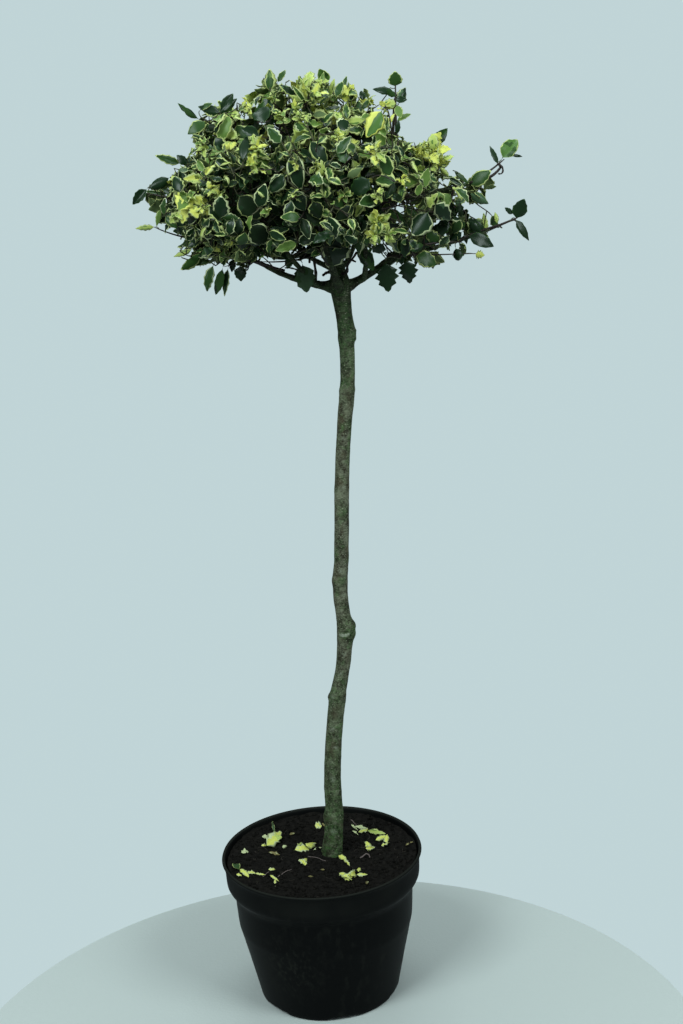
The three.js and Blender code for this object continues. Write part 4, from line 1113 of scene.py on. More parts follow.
def in_outline(places):
    """Whether places seen from the front lie in the crown's outline and outside its gaps."""
    x = places[..., 0]
    inside = (outline_room(places) > 0) & (x > CROWN_LEFT) & (x < CROWN_RIGHT)
    return inside & ~in_spots(places, SKY_GAPS)


def in_spots(places, spots):
    """Whether places seen from the front lie in any of some ellipses."""
    rows = np.array(spots, float)
    away = (places[..., None, :] - rows[:, :2]) / rows[:, 2:]
    return (np.linalg.norm(away, axis=-1) < 1).any(-1)


def reach_of(start, heading, k, longest):
    """How far a mass's space goes on from a point in a direction."""
    places = np.arange(0, longest, 3.0)
    outside = ~in_space(start + places[:, None] * heading, k)
    return float(places[np.argmax(outside)]) if outside.any() else longest


def outward_of(point):
    """The direction from the crown's middle through a point."""
    return unit((point - CROWN_MIDDLE) / CROWN_HALF)


def side_of(axis, turn):
    """A direction square to an axis, turned round it by an angle."""
    reference = UP if abs(axis[2]) < 0.85 else np.array([1.0, 0.0, 0.0])
    across = unit(np.cross(axis, reference))
    return math.cos(turn) * across + math.sin(turn) * np.cross(axis, across)


def leaning(axis, turn, angle):
    """A direction leaning off an axis by an angle, to a side turned round it."""
    return unit(math.cos(angle) * axis + math.sin(angle) * side_of(axis, turn))


def new_leaf(root, heading, facing, length, width, kind, crumple, **rest):
    """One leaf: its root, where it points and faces, its size, its kind, how crumpled and
    curled it is, its mass, its shoot and how far up that, and whether its place is its own."""
    return {
        "root": root, "heading": unit(heading), "facing": facing, "length": length,
        "width": width, "kind": kind, "crumple": crumple, "curl": 1.0, "mass": 0, "shoot": -1,
        "share": 1.0, "placed": False, **rest}


def column(leaves, key):
    """One value of every leaf, as an array."""
    return np.array([leaf[key] for leaf in leaves])


class Growth:
    """Collects the crown's shoots and leaves."""

    def __init__(self, settings):
        self.random = np.random.default_rng(settings.seed)
        self.leaf_length = settings.leaf_length / MM
        self.leaf_width = settings.leaf_width / MM
        self.shoots = []
        self.leaves = []

    def add_shoot(self, path, radii, wood_kind, parent=-1, share=0.0, fixed=False):
        """Notes a shoot, the shoot it grows from and how far up that one it does, and gives
        its number. A fixed shoot stays whether it bears leaves or not."""
        self.shoots.append({
            "path": path, "radii": radii, "wood": wood_kind, "parent": parent, "share": share,
            "fixed": fixed})
        return len(self.shoots) - 1

    def grow_shoot(self, start, heading, length, lift, radii, wood_kind, parent, share):
        """A shoot whose path is a quadratic curve that leaves along its heading and is lifted
        by its end, with a sideways sway that grows from nothing at its foot."""
        end = start + heading * length + lift * UP
        path = bezier(start, start + heading * length * 0.5, end, STEPS_UP)
        sway = 0.045 * length * np.sin(STEPS_UP * 5 + self.random.random() * 6) * STEPS_UP
        path = path + sway[:, None] * side_of(heading, self.random.random() * 6)
        return self.add_shoot(path, radii, wood_kind, parent, share)

    def keep(self, chosen):
        """Keeps the leaves marked, and those with a place of their own."""
        self.leaves = [
            leaf for leaf, kept in zip(self.leaves, chosen) if kept or leaf["placed"]]

    def add_spray(self, number, k, size, longest=0.85, crowd=10):
        """Leaves along a shoot from its tip backwards, a golden angle apart, crowded at the
        tip and wider apart down the shoot. The first goes nearly straight on and the next lean
        further and further off. The leaves nearest the tip are small and often pale."""
        random = self.random
        path = self.shoots[number]["path"]
        run = run_along(path)
        phase = random.random() * 6
        bright = random.random() < bright_chance(path[-1])
        tips, body = deal(random, path[-1], bright)
        back = 0.0
        for i in range(crowd):
            if back > longest * run[-1]:
                break
            place = run[-1] - back
            point = read_path(path, run, place)
            axis = unit(path[-1] - path[-3]) if place > run[-2] else unit(path[4] - path[2])
            lean = 0.35 * random.random() if i == 0 else 0.5 + 0.08 * i + 0.6 * random.random()
            heading = leaning(axis, phase + i * GOLDEN_ANGLE, lean)
            heading = unit(heading - 0.55 * smooth(1310, 1245, point[2]) * UP)
            young = i < 3 + 2 * bright
            scale = size * ((0.5 + 0.12 * i) if young else 0.85) * (0.78 + 0.5 * random.random())
            facing = axis + 0.5 * UP + 0.3 * outward_of(point) + 1.3 * (random.random(3) - 0.5)
            width = self.leaf_width * scale * (0.85 + 0.3 * random.random())
            self.leaves.append(new_leaf(
                point, heading, facing, self.leaf_length * scale, width,
                random.choice(tips if young else body), 1.3 if young else 1.0,
                mass=k, shoot=number, share=place / run[-1]))
            back += 1.8 + 1.5 * i


def bright_chance(point):
    """How likely a shoot's tip is pale: often at the top, seldom low down."""
    return 0.05 + 0.2 * smooth(1280, 1350, point[2]) + 0.5 * smooth(1420, 1465, point[2])


def deal(random, point, bright):
    """The kinds that a shoot's tip leaves and its other leaves are dealt from: by its place
    low, midway or high in the crown, and yellow for a few shoots at the back."""
    if point[1] > 70 and random.random() < 0.09:
        return ["lemon", "lemon", "lime", "broad"], ["lemon", "broad", "edged"]
    if bright:
        return ["lime", "broad", "broad", "pale", "lemon", "lime"], ["edged", "broad", "broad"]
    if point[2] < 1290:
        return ["edged", "dark", "mid"], ["edged", "edged", "dark", "dark", "mid", "spiny"]
    if point[2] > (1335 if point[0] > 140 else 1415):
        return ["edged", "edged", "broad", "pale"], ["edged"] * 7 + ["broad"] * 4 + ["pale"] * 2
    return ["edged", "neat", "broad", "mid"], ["edged"] * 5 + ["neat"] * 5 + ["broad", "grey", "dark"]


def grow_mass(growth, limbs, k, twig_share):
    """One mass: a leading shoot from its limb's end to its far side, side twigs round it, each
    to the border of the mass's space, finer twigs on those, and a spray of leaves on each."""
    random = growth.random
    _, limb_name, twigs, centre, half, lead = MASSES[k]
    _, control, end, radii, _ = limbs[limb_name]
    heading = unit(end - control)
    start = end - heading
    goal = np.array(centre, float) + 0.8 * np.array(half) * np.array(lead)
    middle = start + heading * np.linalg.norm(goal - start) * 0.45
    thick, thin = radii[1], 1.4
    leading = growth.add_shoot(bezier(start, middle, goal, STEPS_UP), (thick, thin), "twig")
    size = 0.85 if half[0] < 45 else 1.0
    growth.add_spray(leading, k, size, 0.4)
    count = int(round(twigs * twig_share))
    phase = random.random() * 6
    track = bezier(start, middle, goal, np.linspace(0, 1, TRACK_STEPS))
    for i in range(count):
        along = 0.08 + 0.88 * (i + 0.5 * random.random()) / count
        j = int(along * (TRACK_STEPS - 2))
        axis = unit(track[j + 1] - track[j])
        lean = math.radians(92 - 48 * along) * (0.85 + 0.3 * random.random())
        way = leaning(axis, phase + i * GOLDEN_ANGLE, lean)
        way = unit(way + 0.6 * smooth(1400, 1460, track[j][2]) * UP)
        length = min(95.0, reach_of(track[j], way, k, 140.0) - 0.25 * growth.leaf_length)
        if length < 10:
            continue
        ends = (0.45 * (thick + (thin - thick) * along), 0.8)
        kind = "twig" if length > 40 else "young"
        lift = 0.1 * length * (0.4 + random.random())
        number = growth.grow_shoot(track[j], way, length, lift, ends, kind, leading, along)
        growth.add_spray(number, k, size)
        for share in (0.3, 0.5, 0.72):
            if length > 30 and random.random() < 0.8:
                branch_twig(growth, number, share, k, size)


def branch_twig(growth, number, share, k, size):
    """A finer twig off a side twig, with its own spray."""
    random = growth.random
    path = growth.shoots[number]["path"]
    last = len(STEPS_UP) - 1
    j = int(share * last)
    axis = unit(path[j + 1] - path[j])
    way = leaning(axis, random.random() * 6.28, 0.65 + 0.4 * random.random())
    length = min(16 + 30 * random.random(), reach_of(path[j], way, k, 60.0) - 7)
    if length > 8:
        twig = growth.grow_shoot(
            path[j], way, length, 0.12 * length, (0.95, 0.7), "young", number, j / last)
        growth.add_spray(twig, k, 0.95 * size, crowd=8)


def wood_points(growth, limbs):
    """Points of the wood so far, the number of the shoot that each lies on (-1 for a limb) and
    how far up that shoot it lies."""
    limb_shares = np.linspace(0.15, 1, 30)
    points = [bezier(*limb[:3], limb_shares) for limb in limbs.values()]
    points += [shoot["path"] for shoot in growth.shoots]
    owners = np.repeat(np.arange(len(growth.shoots)), len(STEPS_UP))
    shares = np.tile(STEPS_UP, len(growth.shoots))
    none = len(limbs) * len(limb_shares)
    return (np.concatenate(points), np.concatenate([np.full(none, -1), owners]),
            np.concatenate([np.zeros(none), shares]))


def link_twig(growth, wood_there, end, heading, fixed=True):
    """A thin twig to an end point, arriving along a heading, from the wood that it would best
    spring from: near, and behind its end rather than in front of it."""
    points, owners, shares = wood_there
    away = end - points
    far = np.linalg.norm(away, axis=1)
    behind = (away @ heading) / np.maximum(far, 1e-6)
    i = int(np.argmin(far * (1.35 - 0.45 * behind) + 14 * (far < 6)))
    path = bezier(points[i], end - heading * 0.5 * far[i], end, STEPS_UP)
    thick = min(0.6 + 0.012 * far[i], 1.3)
    kind = "twig" if far[i] > 25 else "young"
    return growth.add_shoot(path, (thick, 0.6), kind, owners[i], shares[i], fixed)


def nearest_mass(point):
    """The number of the mass that a point lies deepest in or nearest to."""
    return int(mass_shares(point).argmin())


def place_leaves(growth, limbs):
    """The twigs that stand out, then the leaves and the yellow sprays that have places of their
    own, each on a twig that springs from wood near it."""
    random = growth.random
    for a, b, c, thick in LONE_TWIGS:
        path = bezier(a, b, c, STEPS_UP)
        growth.add_shoot(path, (thick, 0.5 * thick), "twig", fixed=True)
    wood_there = wood_points(growth, limbs)
    for *places, width, kind in PLACED_LEAVES:
        root, tip = np.array(places, float).reshape(2, 3)
        root = root - STALK * (tip - root)
        run = tip - root
        link_twig(growth, wood_there, root, unit(run))
        facing = np.array([-0.05, -1.0, 0.25]) + 0.6 * (random.random(3) - 0.5)
        growth.leaves.append(new_leaf(
            root, run, facing, 1.07 * np.linalg.norm(run), 1.12 * width, kind, 0.6,
            mass=nearest_mass(root), placed=True))
    for *centre, radius, kind in YELLOW_SPRAYS:
        centre = np.array(centre, float)
        axis = unit(outward_of(centre) + 0.5 * UP)
        foot = centre - axis * 0.5 * radius
        link_twig(growth, wood_there, foot + axis * radius, axis)
        count = 7 + radius // 4
        for i in range(count):
            turn = i * GOLDEN_ANGLE + random.random()
            heading = leaning(axis, turn, 0.3 + 1.2 * random.random())
            length = min(max(radius * (0.8 + 0.5 * random.random()), 13), 28)
            facing = 0.5 * axis + 0.4 * UP + 1.8 * (random.random(3) - 0.5)
            width = (0.46 + 0.28 * random.random()) * length
            growth.leaves.append(new_leaf(
                foot + axis * (radius * i / count), heading, facing, length, width,
                random.choice(YELLOW_DEALS[kind]), 1.9, mass=nearest_mass(centre), placed=True))


def leaf_centres(leaves):
    """The middles of leaves."""
    return np.array([leaf["root"] + 0.55 * leaf["length"] * leaf["heading"] for leaf in leaves])


def surface_depth(points):
    """How deep points lie under the crown's surface, which is the masses' and, seen from the
    front, the crown's outline."""
    depth = ((1 - mass_shares(points)) * MEAN_HALVES).max(-1)
    return np.minimum(depth, 0.8 * outline_room(front_place(points)))


def keep_clear(growth, limbs):
    """Drops the leaves that leave the crown's reach or its outline, touch a limb, or hide from
    the front a bare limb, a twig that stands out or a leaf with a place of its own."""
    leaves = growth.leaves
    root, heading, length, width = (
        column(leaves, key) for key in ("root", "heading", "length", "width"))
    side = 0.35 * width[:, None] * unit(np.cross(heading, column(leaves, "facing")))
    centre = leaf_centres(leaves)
    tip = root + heading * length[:, None]
    keep = (mass_shares(tip).min(1) < 1.03) & (mass_shares(centre).min(1) < 1.0)
    edges = np.stack([centre, tip, centre + side, centre - side], 1)
    keep &= in_outline(front_place(edges)).all(1)
    seen = front_place(centre)
    for name, (start, control, end, radii, _) in limbs.items():
        line = bezier(start, control, end, np.linspace(0.05, 0.97, 24))
        far = np.linalg.norm(centre[:, None] - line[None], axis=-1).min(1)
        keep &= far > radii[0] + 3
        if name in BARE_LIMBS:
            line = bezier(start, control, end, np.linspace(*BARE_LIMBS[name], 30))
            keep &= ~hides(seen, centre[:, 1], line, 0.3 * length + 1)
    for a, b, c, _ in LONE_TWIGS:
        line = bezier(a, b, c, np.linspace(0.25, 1, 16))
        keep &= ~hides(seen, centre[:, 1], line, 0.22 * length + 1)
    for i in np.flatnonzero(column(leaves, "placed") & (centre[:, 1] < 30)):
        to_view = unit(EYE - centre[i])
        away = centre - centre[i]
        ahead = away @ to_view
        aside = np.linalg.norm(away - ahead[:, None] * to_view, axis=1)
        keep &= (ahead < -6) | (aside > 0.4 * length[i] + 4)
    growth.keep(keep)


def thin_inside(growth):
    """Drops some of the leaves deep in the crown, more the deeper they are."""
    depth = surface_depth(leaf_centres(growth.leaves))
    chance = 1 - 0.35 * smooth(24, 42, depth) - 0.4 * smooth(45, 75, depth)
    growth.keep(growth.random.random(len(depth)) < chance)


def fill_spaces(growth, limbs, tries, clear):
    """Leafy shoots into the empty places near the crown's surface. Of many random places, each
    with no leaf's middle within the clear distance gets a short shoot with its own spray."""
    random = growth.random
    places = CROWN_MIDDLE + 1.15 * CROWN_HALF * (2 * random.random((tries, 3)) - 1)
    depth = surface_depth(places)
    places = places[(depth > 4) & (depth < 30) & in_outline(front_place(places))]
    wood_there = wood_points(growth, limbs)
    centres = leaf_centres(growth.leaves)
    for place in places:
        if np.linalg.norm(centres - place, axis=1).min() > clear:
            heading = unit(outward_of(place) + 0.5 * UP + 0.5 * (random.random(3) - 0.5))
            number = link_twig(growth, wood_there, place, heading, fixed=False)
            before = len(growth.leaves)
            growth.add_spray(number, nearest_mass(place), 0.95, 0.6, 6)
            centres = np.concatenate([centres, leaf_centres(growth.leaves[before:])])


def darken_hollows(growth):
    """Drops about half of the foremost leaves in the dark places, and paints shade on the others by dealing
    them dark kinds.
    """
    centres = leaf_centres(growth.leaves)
    inside = in_spots(front_place(centres), DARK_HOLLOWS) & (centres[:, 1] < 60)
    kept = []
    for leaf, hollow, centre in zip(growth.leaves, inside, centres):
        if hollow and not leaf["placed"]:
            if centre[1] < -60 and growth.random.random() < 0.5:
                continue
            leaf["kind"] = growth.random.choice(HOLLOW_DEALS)
        kept.append(leaf)
    growth.leaves = kept


def shade_inside(growth):
    """Paints shade on most of the leaves deep in the crown, turning them into the dull, dark inner kind."""
    depth = surface_depth(leaf_centres(growth.leaves))
    shaded = (depth > 36) & (growth.random.random(len(depth)) < 0.8)
    for leaf, dark in zip(growth.leaves, shaded):
        if dark and not leaf["placed"]:
            leaf["kind"] = "inner"


def hides(seen, depth, line, reach):
    """Whether leaves seen at places, and as deep as given, would hide a line from the front."""
    away = np.linalg.norm(seen[:, None] - front_place(line)[None], axis=-1)
    nearest = away.argmin(1)
    return (away.min(1) < reach) & (depth < line[nearest, 1] + 5)


def trim_shoots(growth):
    """Cuts every shoot back to its last leaf or twig, and drops those that bear nothing."""
    shoots = growth.shoots
    reach = [1.0 if shoot["fixed"] else 0.0 for shoot in shoots]
    for leaf in growth.leaves:
        if leaf["shoot"] >= 0:
            reach[leaf["shoot"]] = max(reach[leaf["shoot"]], leaf["share"])
    for i in reversed(range(len(shoots))):
        parent = shoots[i]["parent"]
        if reach[i] > 0 and parent >= 0:
            reach[parent] = max(reach[parent], shoots[i]["share"])
    for shoot, far in zip(shoots, reach):
        shoot["path"] = read_path(shoot["path"], STEPS_UP, STEPS_UP * far)
        thick, thin = shoot["radii"]
        shoot["radii"] = (thick, thick + (thin - thick) * far)
    growth.shoots = [shoot for shoot, far in zip(shoots, reach) if far > 0]


def grow_crown(settings):
    """The whole crown's shoots and leaves."""
    growth = Growth(settings)
    limbs = lay_limbs()
    for k in range(len(MASSES)):
        grow_mass(growth, limbs, k, settings.twig_share)
    place_leaves(growth, limbs)
    thin_inside(growth)
    keep_clear(growth, limbs)
    for _ in range(2):
        fill_spaces(growth, limbs, settings.tries, settings.clear / MM)
        keep_clear(growth, limbs)
    darken_hollows(growth)
    shade_inside(growth)
    trim_shoots(growth)
    return growth


# ---- leaves

KINDS = {  # middle, splash, margin, where the margin starts, how spiny
    "edged": ("deep", "grey", "cream", 0.76, 0.12),
    "broad": ("mid", "light", "butter", 0.54, 0.15),
    "neat": ("deep", "deep", "cream", 0.8, 0.09),
    # The rimmed, shaded and inner kinds are painted shade: their middles take the shade skin, the inner
    # kind's splash too, and the shaded and inner kinds have dimmed margins.
    "rimmed": ("shade", "deep", "cream", 0.84, 0.1),
    "shaded": ("shade", "deep", "rim", 0.86, 0.14),
    "dark": ("deep", "deep", "mid", 0.88, 0.07),
    "inner": ("shade", "shade", "mid", 0.9, 0.16),
    "mid": ("mid", "mid", "butter", 0.84, 0.08),
    "grey": ("grey", "grey", "butter", 0.84, 0.08),
    "pale": ("light", "light", "butter", 0.8, 0.1),
    "lime": ("lime", "light", "butter", 0.6, 0.2),
    "lemon": ("lemon", "lime", "butter", 0.66, 0.25),
    "sunny": ("light", "lemon", "lemon", 0.5, 0.12),
    "faded": ("husk", "cream", "husk", 0.6, 0.2),
    "half": ("fresh", "lemon", "lemon", 0.7, 0.08),
    "spiny": ("deep", "deep", "mid", 0.9, 0.25),
    "dull": ("grey", "mid", "mid", 0.9, 0.25),
    "green": ("fresh", "mid", "butter", 0.86, 0.07),
    "cream": ("cream", "cream", "cream", 0.7, 0.2),
    "shed": ("lemon", "cream", "cream", 0.6, 0.26),
    "husk": ("husk", "husk", "husk", 0.6, 0.2),
}
YELLOW_DEALS = {
    "lemon": ["lemon"] * 5 + ["lime", "lime", "broad"],
    "lime": ["lime"] * 4 + ["broad", "broad", "pale", "pale", "lemon", "mid"],
}
# kinds dealt to the leaves in the dark hollows; all but dark are painted shade
HOLLOW_DEALS = ["inner", "shaded", "shaded", "rimmed", "dark"]
LEAF_ROWS = np.array([0.08, 0.19, 0.29, 0.4, 0.51, 0.62, 0.73, 0.84, 0.93])
SPINES = np.array([0, 0, 1, -0.5, 1, -0.5, 1, -0.5, 1])  # how far each row swings out
LEAF_COLUMNS = 7
LEAF_SEED = 100
STALK = 0.1
STALK_WIDTH = 0.06
STALK_THICKNESS, LEAF_THICKNESS = 1.1, 0.38


def leaf_points(leaves, random):
    """All leaves' points at once. A leaf is a sheet over two parameters, s along it and c
    across it. Past the stalk, its half width is half the width times 2.95 t^0.62 (1 - t)^0.98
    for the share t of the blade, swung out and in by turns for the spines. Along s the sheet
    bends on an arc, each half stands up from the midrib by the fold, sinks towards the margin
    by the cup, and waves along the margin as a sine. The underside is the same sheet set in by
    the leaf's thickness, and shares the rim and both end points."""
    n, rows = len(leaves), len(LEAF_ROWS)
    root, heading, facing = (column(leaves, key) for key in ("root", "heading", "facing"))
    length, width, crumple, curl = (
        column(leaves, key)[:, None, None] for key in ("length", "width", "crumple", "curl"))
    border, spiny = np.array([KINDS[leaf["kind"]][3:] for leaf in leaves]).T
    side = unit(np.cross(heading, facing))
    up = np.cross(side, heading)
    blade = np.clip((LEAF_ROWS - STALK) / (1 - STALK), 0, 1)
    form = 2.95 * blade ** 0.62 * (1 - blade) ** 0.98
    form[0] = STALK_WIDTH
    spine = (spiny * (0.5 + random.random(n)))[:, None, None] * SPINES[:, None]
    half = 0.5 * width * form[:, None] * (1 + spine)
    inner = border[:, None, None] + 0.16 * (random.random((n, rows, 2)) - 0.5)
    inner = np.clip(inner, 0.4, 0.96)
    inner[:, 0] = 0.6
    between = inner * (0.45 + 0.24 * (random.random((n, rows, 2)) - 0.5))
    edge = np.ones((n, rows, 1))
    c = np.concatenate([-edge, -inner[..., :1], -between[..., :1], 0 * edge, between[..., 1:],
                        inner[..., 1:], edge], -1)

    def spread(low, high):
        return (low + (high - low) * random.random(n))[:, None, None]

    bend = spread(0.25, 1.4) * curl * np.sqrt(crumple)
    bend = np.where(spread(0, 1) < 0.15, -0.6 * bend, bend)
    fold = spread(0.08, 0.7)
    cup = spread(0.1, 0.5) + 0.5 * (spread(0, 1) < 0.25)
    wave = spread(0.08, 0.3) * crumple
    phase = spread(0, 6)
    twist = spread(-0.45, 0.45) * crumple
    s, t = LEAF_ROWS[:, None], blade[:, None]
    ripple = wave * np.abs(c) ** 3 * np.sin(14 * t + phase + 1.4 * np.sign(c))
    rise = (fold * np.abs(c) - cup * c ** 2 + ripple) * half
    across = c * half * np.cos(fold)
    roll = twist * t
    across, rise = (across * np.cos(roll) - rise * np.sin(roll),
                    across * np.sin(roll) + rise * np.cos(roll))
    arc = bend * s
    along = length * (np.sin(arc) / bend + 0.03 * spine * np.abs(c) ** 3) + rise * np.sin(arc)
    high = -length * (1 - np.cos(arc)) / bend + rise * np.cos(arc)

    def to_world(*places):
        return root[:, None, None] + sum(
            place[..., None] * axis[:, None, None]
            for place, axis in zip(places, (side, heading, up)))

    top = to_world(across, along, high)
    thick = np.where(LEAF_ROWS < 1.5 * STALK, STALK_THICKNESS, LEAF_THICKNESS)[:, None]
    low = to_world(across, along - thick * np.sin(arc), high - thick * np.cos(arc))
    tip = to_world(0 * bend, length * np.sin(bend) / bend, -length * (1 - np.cos(bend)) / bend)
    return np.concatenate([
        top.reshape(n, -1, 3), low[:, :, [1, 3, 5]].reshape(n, -1, 3), root[:, None],
        tip[:, 0]], 1)


def leaf_faces():
    """Faces of one leaf: quads of the upper sheet and of the lower one, turned over, then the
    triangles that close both at the foot and at the tip."""
    rows, inner = len(LEAF_ROWS), 3
    top = np.arange(rows * LEAF_COLUMNS).reshape(rows, LEAF_COLUMNS)
    low = np.empty((rows, inner + 2), int)
    low[:, [0, -1]] = top[:, [0, -1]]
    low[:, 1:-1] = top.size + np.arange(rows * inner).reshape(rows, inner)
    foot = top.size + rows * inner
    tip = foot + 1
    upper = np.stack([top[:-1, :-1], top[:-1, 1:], top[1:, 1:], top[1:, :-1]], -1)
    lower = np.stack([low[:-1, :-1], low[1:, :-1], low[1:, 1:], low[:-1, 1:]], -1)
    fans = []
    for first, last, point in (
            (top[0, 1:], top[0, :-1], foot), (top[-1, :-1], top[-1, 1:], tip),
            (low[0, :-1], low[0, 1:], foot), (low[-1, 1:], low[-1, :-1], tip)):
        fans.append(np.stack([np.full(len(first), point), first, last], -1))
    return np.concatenate([upper.reshape(-1, 4), lower.reshape(-1, 4)]), np.concatenate(fans)


def leaf_slots(leaves, random):
    """The skin of each face of each leaf, first of its quads, then of its triangles: margins
    outside, the middle inside, and splashes over a stretch of the inner strips. A half-yellow
    leaf is yellow on one side of its rib."""
    n, stretches = len(leaves), len(LEAF_ROWS) + 1
    number = {name: k for k, name in enumerate(LEAF_SKINS)}
    kinds = np.array([[number[skin] for skin in KINDS[leaf["kind"]][:3]] for leaf in leaves])
    middle, splash, margin = kinds.T[..., None]
    butter = (margin == number["cream"]) & (random.random((n, 1)) < 0.4)
    margin = np.where(butter, number["butter"], margin)
    swap = (middle == number["deep"]) & (random.random((n, 1)) < 0.25)
    middle = np.where(swap, number["mid"], middle)
    slots = np.repeat(middle[..., None], stretches, 1).repeat(LEAF_COLUMNS - 1, 2)
    slots[:, :, [0, -1]] = margin[..., None]
    row = np.arange(stretches)
    for strip, longest, likely in ((1, 5, 0.7), (2, 3, 0.25), (3, 3, 0.25), (4, 5, 0.7)):
        first = random.integers(1, 8, (n, 1))
        run = random.integers(1, longest, (n, 1))
        splashed = (random.random((n, 1)) < likely) & (row >= first) & (row < first + run)
        slots[:, :, strip] = np.where(splashed, splash, slots[:, :, strip])
    half = np.array([leaf["kind"] == "half" for leaf in leaves])
    slots[half, :, 1:4] = number["fresh"]
    slots[half, :, 4:] = number["lemon"]
    slots[:, 0] = np.where(middle == number["husk"], number["husk"], number["mid"])
    slots[:, -1] = np.where(random.random((n, 1)) < 0.7, margin, slots[:, -1])
    plain = np.isin(middle, [number[name] for name in ("lemon", "lime", "cream", "husk")])
    # leaves whose middle is the painted shade skin get painted shade underneath too: the shade skin below,
    # and the under skin on the underside's margin
    shaded = middle == number["shade"]
    below = np.where(plain, middle, np.where(shaded, number["shade"], number["under"]))
    rim = np.where(plain, middle, np.where(shaded, number["under"], number["rim"]))
    low = np.repeat(below[..., None], stretches, 1).repeat(4, 2)
    low[:, :, [0, -1]] = rim[..., None]
    quads = np.concatenate([slots[:, 1:-1].reshape(n, -1), low[:, 1:-1].reshape(n, -1)], 1)
    fans = np.concatenate([slots[:, 0], slots[:, -1], low[:, 0], low[:, -1]], 1)
    return quads, fans


def make_leaves(name, leaves, skins, seed):
    """One joined piece of leaves."""
    random = np.random.default_rng(seed)
    points = leaf_points(leaves, random)
    faces = repeated(leaf_faces(), *points.shape[:2])
    slots = np.concatenate([slots.reshape(-1) for slots in leaf_slots(leaves, random)])
    piece = make_piece(name, points.reshape(-1, 3), faces, skins, slots)
    return piece


class HOLLY_OT_crown(bpy.types.Operator):
    """Grows the crown by the solids' rule, carried to finer twigs, and joins its twigs and its
    leaves into a few pieces"""

    bl_idname = "holly.crown"
    bl_label = "Twigs and leaves"

    def execute(self, context):
        settings = context.scene.holly_crown
        growth = grow_crown(settings)
        self.make_twigs(settings, growth)
        skins = leaf_skins(settings)
        for k, (name, masses) in enumerate(GROUPS):
            leaves = [leaf for leaf in growth.leaves if MASSES[leaf["mass"]][0] in masses]
            piece = make_leaves(name, leaves, skins, LEAF_SEED + k)
            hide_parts(*["foliage_" + mass for mass in masses])
        return {"FINISHED"}

    def make_twigs(self, settings, growth):
        """Bars along all shoots, the older brown and the young green, and the dead twigs."""
        brown = wood("Twig skin", settings.twig_colour, 0.5)
        green = wood("Young twig skin", settings.young_colour, 0.45)
        for name, kind, skin in (("twigs_brown", "twig", brown), ("twigs_green", "young", green)):
            chosen = [shoot for shoot in growth.shoots if shoot["wood"] == kind]
            foot, tip = np.array([shoot["radii"] for shoot in chosen]).T[..., None]
            radii = foot + (tip - foot) * STEPS_UP
            radii[:, -1] *= 0.6
            paths = np.stack([shoot["path"] for shoot in chosen])
            piece = make_piece(name, *bars(paths, radii, TWIG_SIDES), [skin])
        count = DEAD_TWIG_STEPS
        paths = np.stack([resample(points, count) for points, _ in DEAD_TWIGS])
        knobbly = np.linspace(1, 0.62, count) * (1 + 0.14 * np.sin(np.linspace(0, 22, count)))
        radii = np.array([[thick] for _, thick in DEAD_TWIGS]) * knobbly
        dead = make_piece("twigs_dead", *bars(paths, radii, DEAD_TWIG_SIDES), [brown])


class HOLLY_OT_fallen(bpy.types.Operator):
    """Lays the fallen leaves, bits of leaf and twiglets on the compost"""

    bl_idname = "holly.fallen"
    bl_label = "Fallen leaves"

    def execute(self, context):
        random = np.random.default_rng(FALLEN_SEED)
        leaves = []
        for x, y, tip_x, tip_y, width, rise, kind in FALLEN_LEAVES:
            root, tip = on_compost([(x, y, 2.5), (tip_x, tip_y, 2.5 + rise)])
            facing = 0.8 * UP + np.array([0, -0.6, 0]) + 0.5 * (random.random(3) - 0.5)
            leaves.append(new_leaf(
                root + 0.3 * width * UP, tip - root, facing, 1.12 * np.linalg.norm(tip - root),
                1.25 * width, kind, 2.2, curl=0.5))
        skins = leaf_skins(context.scene.holly_crown)
        make_leaves("fallen_leaves", leaves, skins, FALLEN_LEAF_SEED)
        count = FALLEN_TWIG_STEPS
        paths = on_compost([resample(points, count) for points, _ in FALLEN_TWIGS])
        radii = np.array([[thick] for _, thick in FALLEN_TWIGS]) * np.linspace(1, 0.6, count)
        stick = wood("Dry twig skin", context.scene.holly_compost.stick_colour, 0.7)
        twigs = make_piece("fallen_twigs", *bars(paths, radii, TWIG_SIDES), [stick])
        return {"FINISHED"}


# ---- stage

FLOOR_MIDDLE = np.array([-10.0, -239.0, -0.4])
AIR_AS_LIGHT, AIR_AS_SEEN = 0.3, 1.0  # the background's strength
LIGHT_AIM = Vector((0.05, 0.0, 1.1))
LIGHT_COLOUR = (0.86, 1.0, 0.99)
LIGHTS = [  # name, place and size in metres, the setting of its power
    ("Key light", (-1.5, -1.9, 2.9), 1.3, "key_power"),
    ("Fill light", (1.7, -1.7, 2.5), 1.2, "fill_power"),
    ("Top light", (0.1, 0.5, 3.3), 1.4, "top_power"),
]
SENSOR_WIDTH = 36.0  # millimetres
VIEW_END = 50.0  # metres


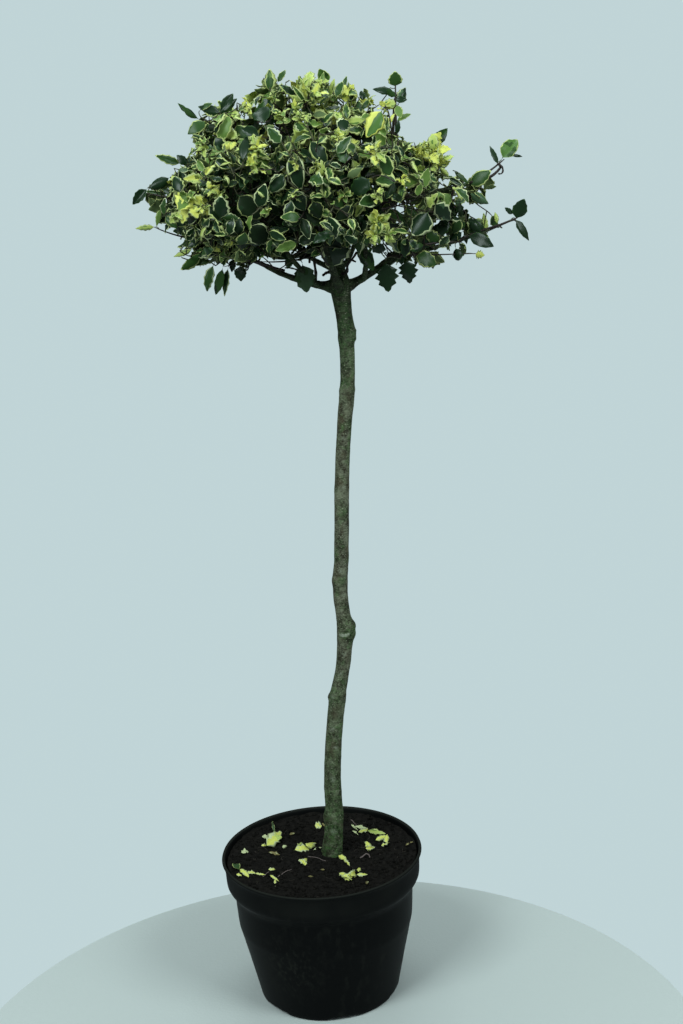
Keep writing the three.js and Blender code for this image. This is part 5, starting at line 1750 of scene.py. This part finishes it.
class HOLLY_OT_stage(bpy.types.Operator):
    """Makes the pale round floor, the pale background, the soft lights and the camera"""

    bl_idname = "holly.stage"
    bl_label = "Floor, light and camera"

    def execute(self, context):
        settings = context.scene.holly_stage
        self.make_floor(settings)
        self.make_air(settings)
        for name, place, size, power in LIGHTS:
            self.add_light(name, place, size, getattr(settings, power))
        self.add_camera(settings)
        context.scene.view_settings.view_transform = "Standard"
        return {"FINISHED"}

    def make_floor(self, settings):
        """A disc: a fan of triangles from its middle to points r cos a and r sin a off it."""
        segments = 160
        rim = round_points(settings.floor_radius / MM, turns(segments), 0)
        points = np.concatenate([rim, [(0, 0, 0)]]) + FLOOR_MIDDLE
        a = np.arange(segments)
        fan = np.stack([np.full(segments, segments), a, (a + 1) % segments], 1)
        skin = Finish("Pale floor", settings.floor_colour, 0.9, 0.1)
        skin.bump(skin.grain(160, 4), 0.25, 0.002)
        make_object("floor", points, [fan], [skin.material])

    def make_air(self, settings):
        """A pale world: bright where the camera looks past the plant, softer as light."""
        world = bpy.data.worlds.new("Pale air")
        world.use_nodes = True
        bpy.context.scene.world = world
        tree = world.node_tree
        tree.nodes.clear()
        airs = []
        for strength in (AIR_AS_LIGHT, AIR_AS_SEEN):
            inputs = {"Color": (*settings.air_colour, 1), "Strength": strength}
            airs.append(new_node(tree, "ShaderNodeBackground", inputs).outputs[0])
        from_camera = new_node(tree, "ShaderNodeLightPath").outputs["Is Camera Ray"]
        mix = new_node(tree, "ShaderNodeMixShader", {0: from_camera, 1: airs[0], 2: airs[1]})
        new_node(tree, "ShaderNodeOutputWorld", {"Surface": mix.outputs[0]})

    def add_light(self, name, place, size, power):
        """A square soft light that looks at the upper stem."""
        data = bpy.data.lights.new(name, "AREA")
        data.size = size
        data.energy = power
        data.color = LIGHT_COLOUR
        light = put(name, data)
        light.location = place
        light.rotation_euler = (LIGHT_AIM - Vector(place)).to_track_quat("-Z", "Y").to_euler()

    def add_camera(self, settings):
        """A camera whose axes are its yaw, then its pitch, then its roll."""
        data = bpy.data.cameras.new("Camera")
        data.sensor_width = SENSOR_WIDTH
        data.lens = settings.lens
        data.clip_end = VIEW_END
        camera = put("Camera", data)
        turn = Matrix.Rotation(-settings.yaw, 4, "Z")
        tilt = Matrix.Rotation(math.pi / 2 - settings.pitch, 4, "X")
        roll = Matrix.Rotation(settings.roll, 4, "Z")
        camera.matrix_world = Matrix.Translation(settings.camera_place) @ turn @ tilt @ roll
        bpy.context.scene.camera = camera


# ---- panel and registration


class HOLLY_PT_parts(bpy.types.Panel):
    """Lists the parts of the potted holly."""

    bl_label = "Potted holly"
    bl_idname = "HOLLY_PT_parts"
    bl_space_type = "VIEW_3D"
    bl_region_type = "UI"
    bl_category = "Holly"

    def draw(self, context):
        for key, (group, operators) in STEPS.items():
            box = self.layout.box()
            for name in group.__annotations__:
                box.prop(getattr(context.scene, key), name)
            for operator in operators:
                box.operator(operator.bl_idname)


STEPS = {  # a group of settings, its class, and the operators that read it
    "holly_stage": (HollyStageSettings, [HOLLY_OT_stage]),
    "holly_pot": (HollyPotSettings, [HOLLY_OT_pot]),
    "holly_compost": (HollyCompostSettings, [HOLLY_OT_compost, HOLLY_OT_fallen]),
    "holly_stem": (HollyStemSettings, [HOLLY_OT_stem]),
    "holly_crown": (HollyCrownSettings, [HOLLY_OT_crown]),
}
CLASSES = [cls for group, operators in STEPS.values() for cls in (group, *operators)]
CLASSES.append(HOLLY_PT_parts)


def register():
    for cls in CLASSES:
        bpy.utils.register_class(cls)
    for key, (group, _) in STEPS.items():
        setattr(bpy.types.Scene, key, bpy.props.PointerProperty(type=group))


def unregister():
    for key in STEPS:
        delattr(bpy.types.Scene, key)
    for cls in reversed(CLASSES):
        bpy.utils.unregister_class(cls)


def main():
    """Makes every piece in order."""
    register()
    bpy.ops.holly.stage()
    bpy.ops.holly.pot()
    bpy.ops.holly.compost()
    bpy.ops.holly.fallen()
    bpy.ops.holly.stem()
    bpy.ops.holly.crown()


if __name__ == "__main__":
    main()
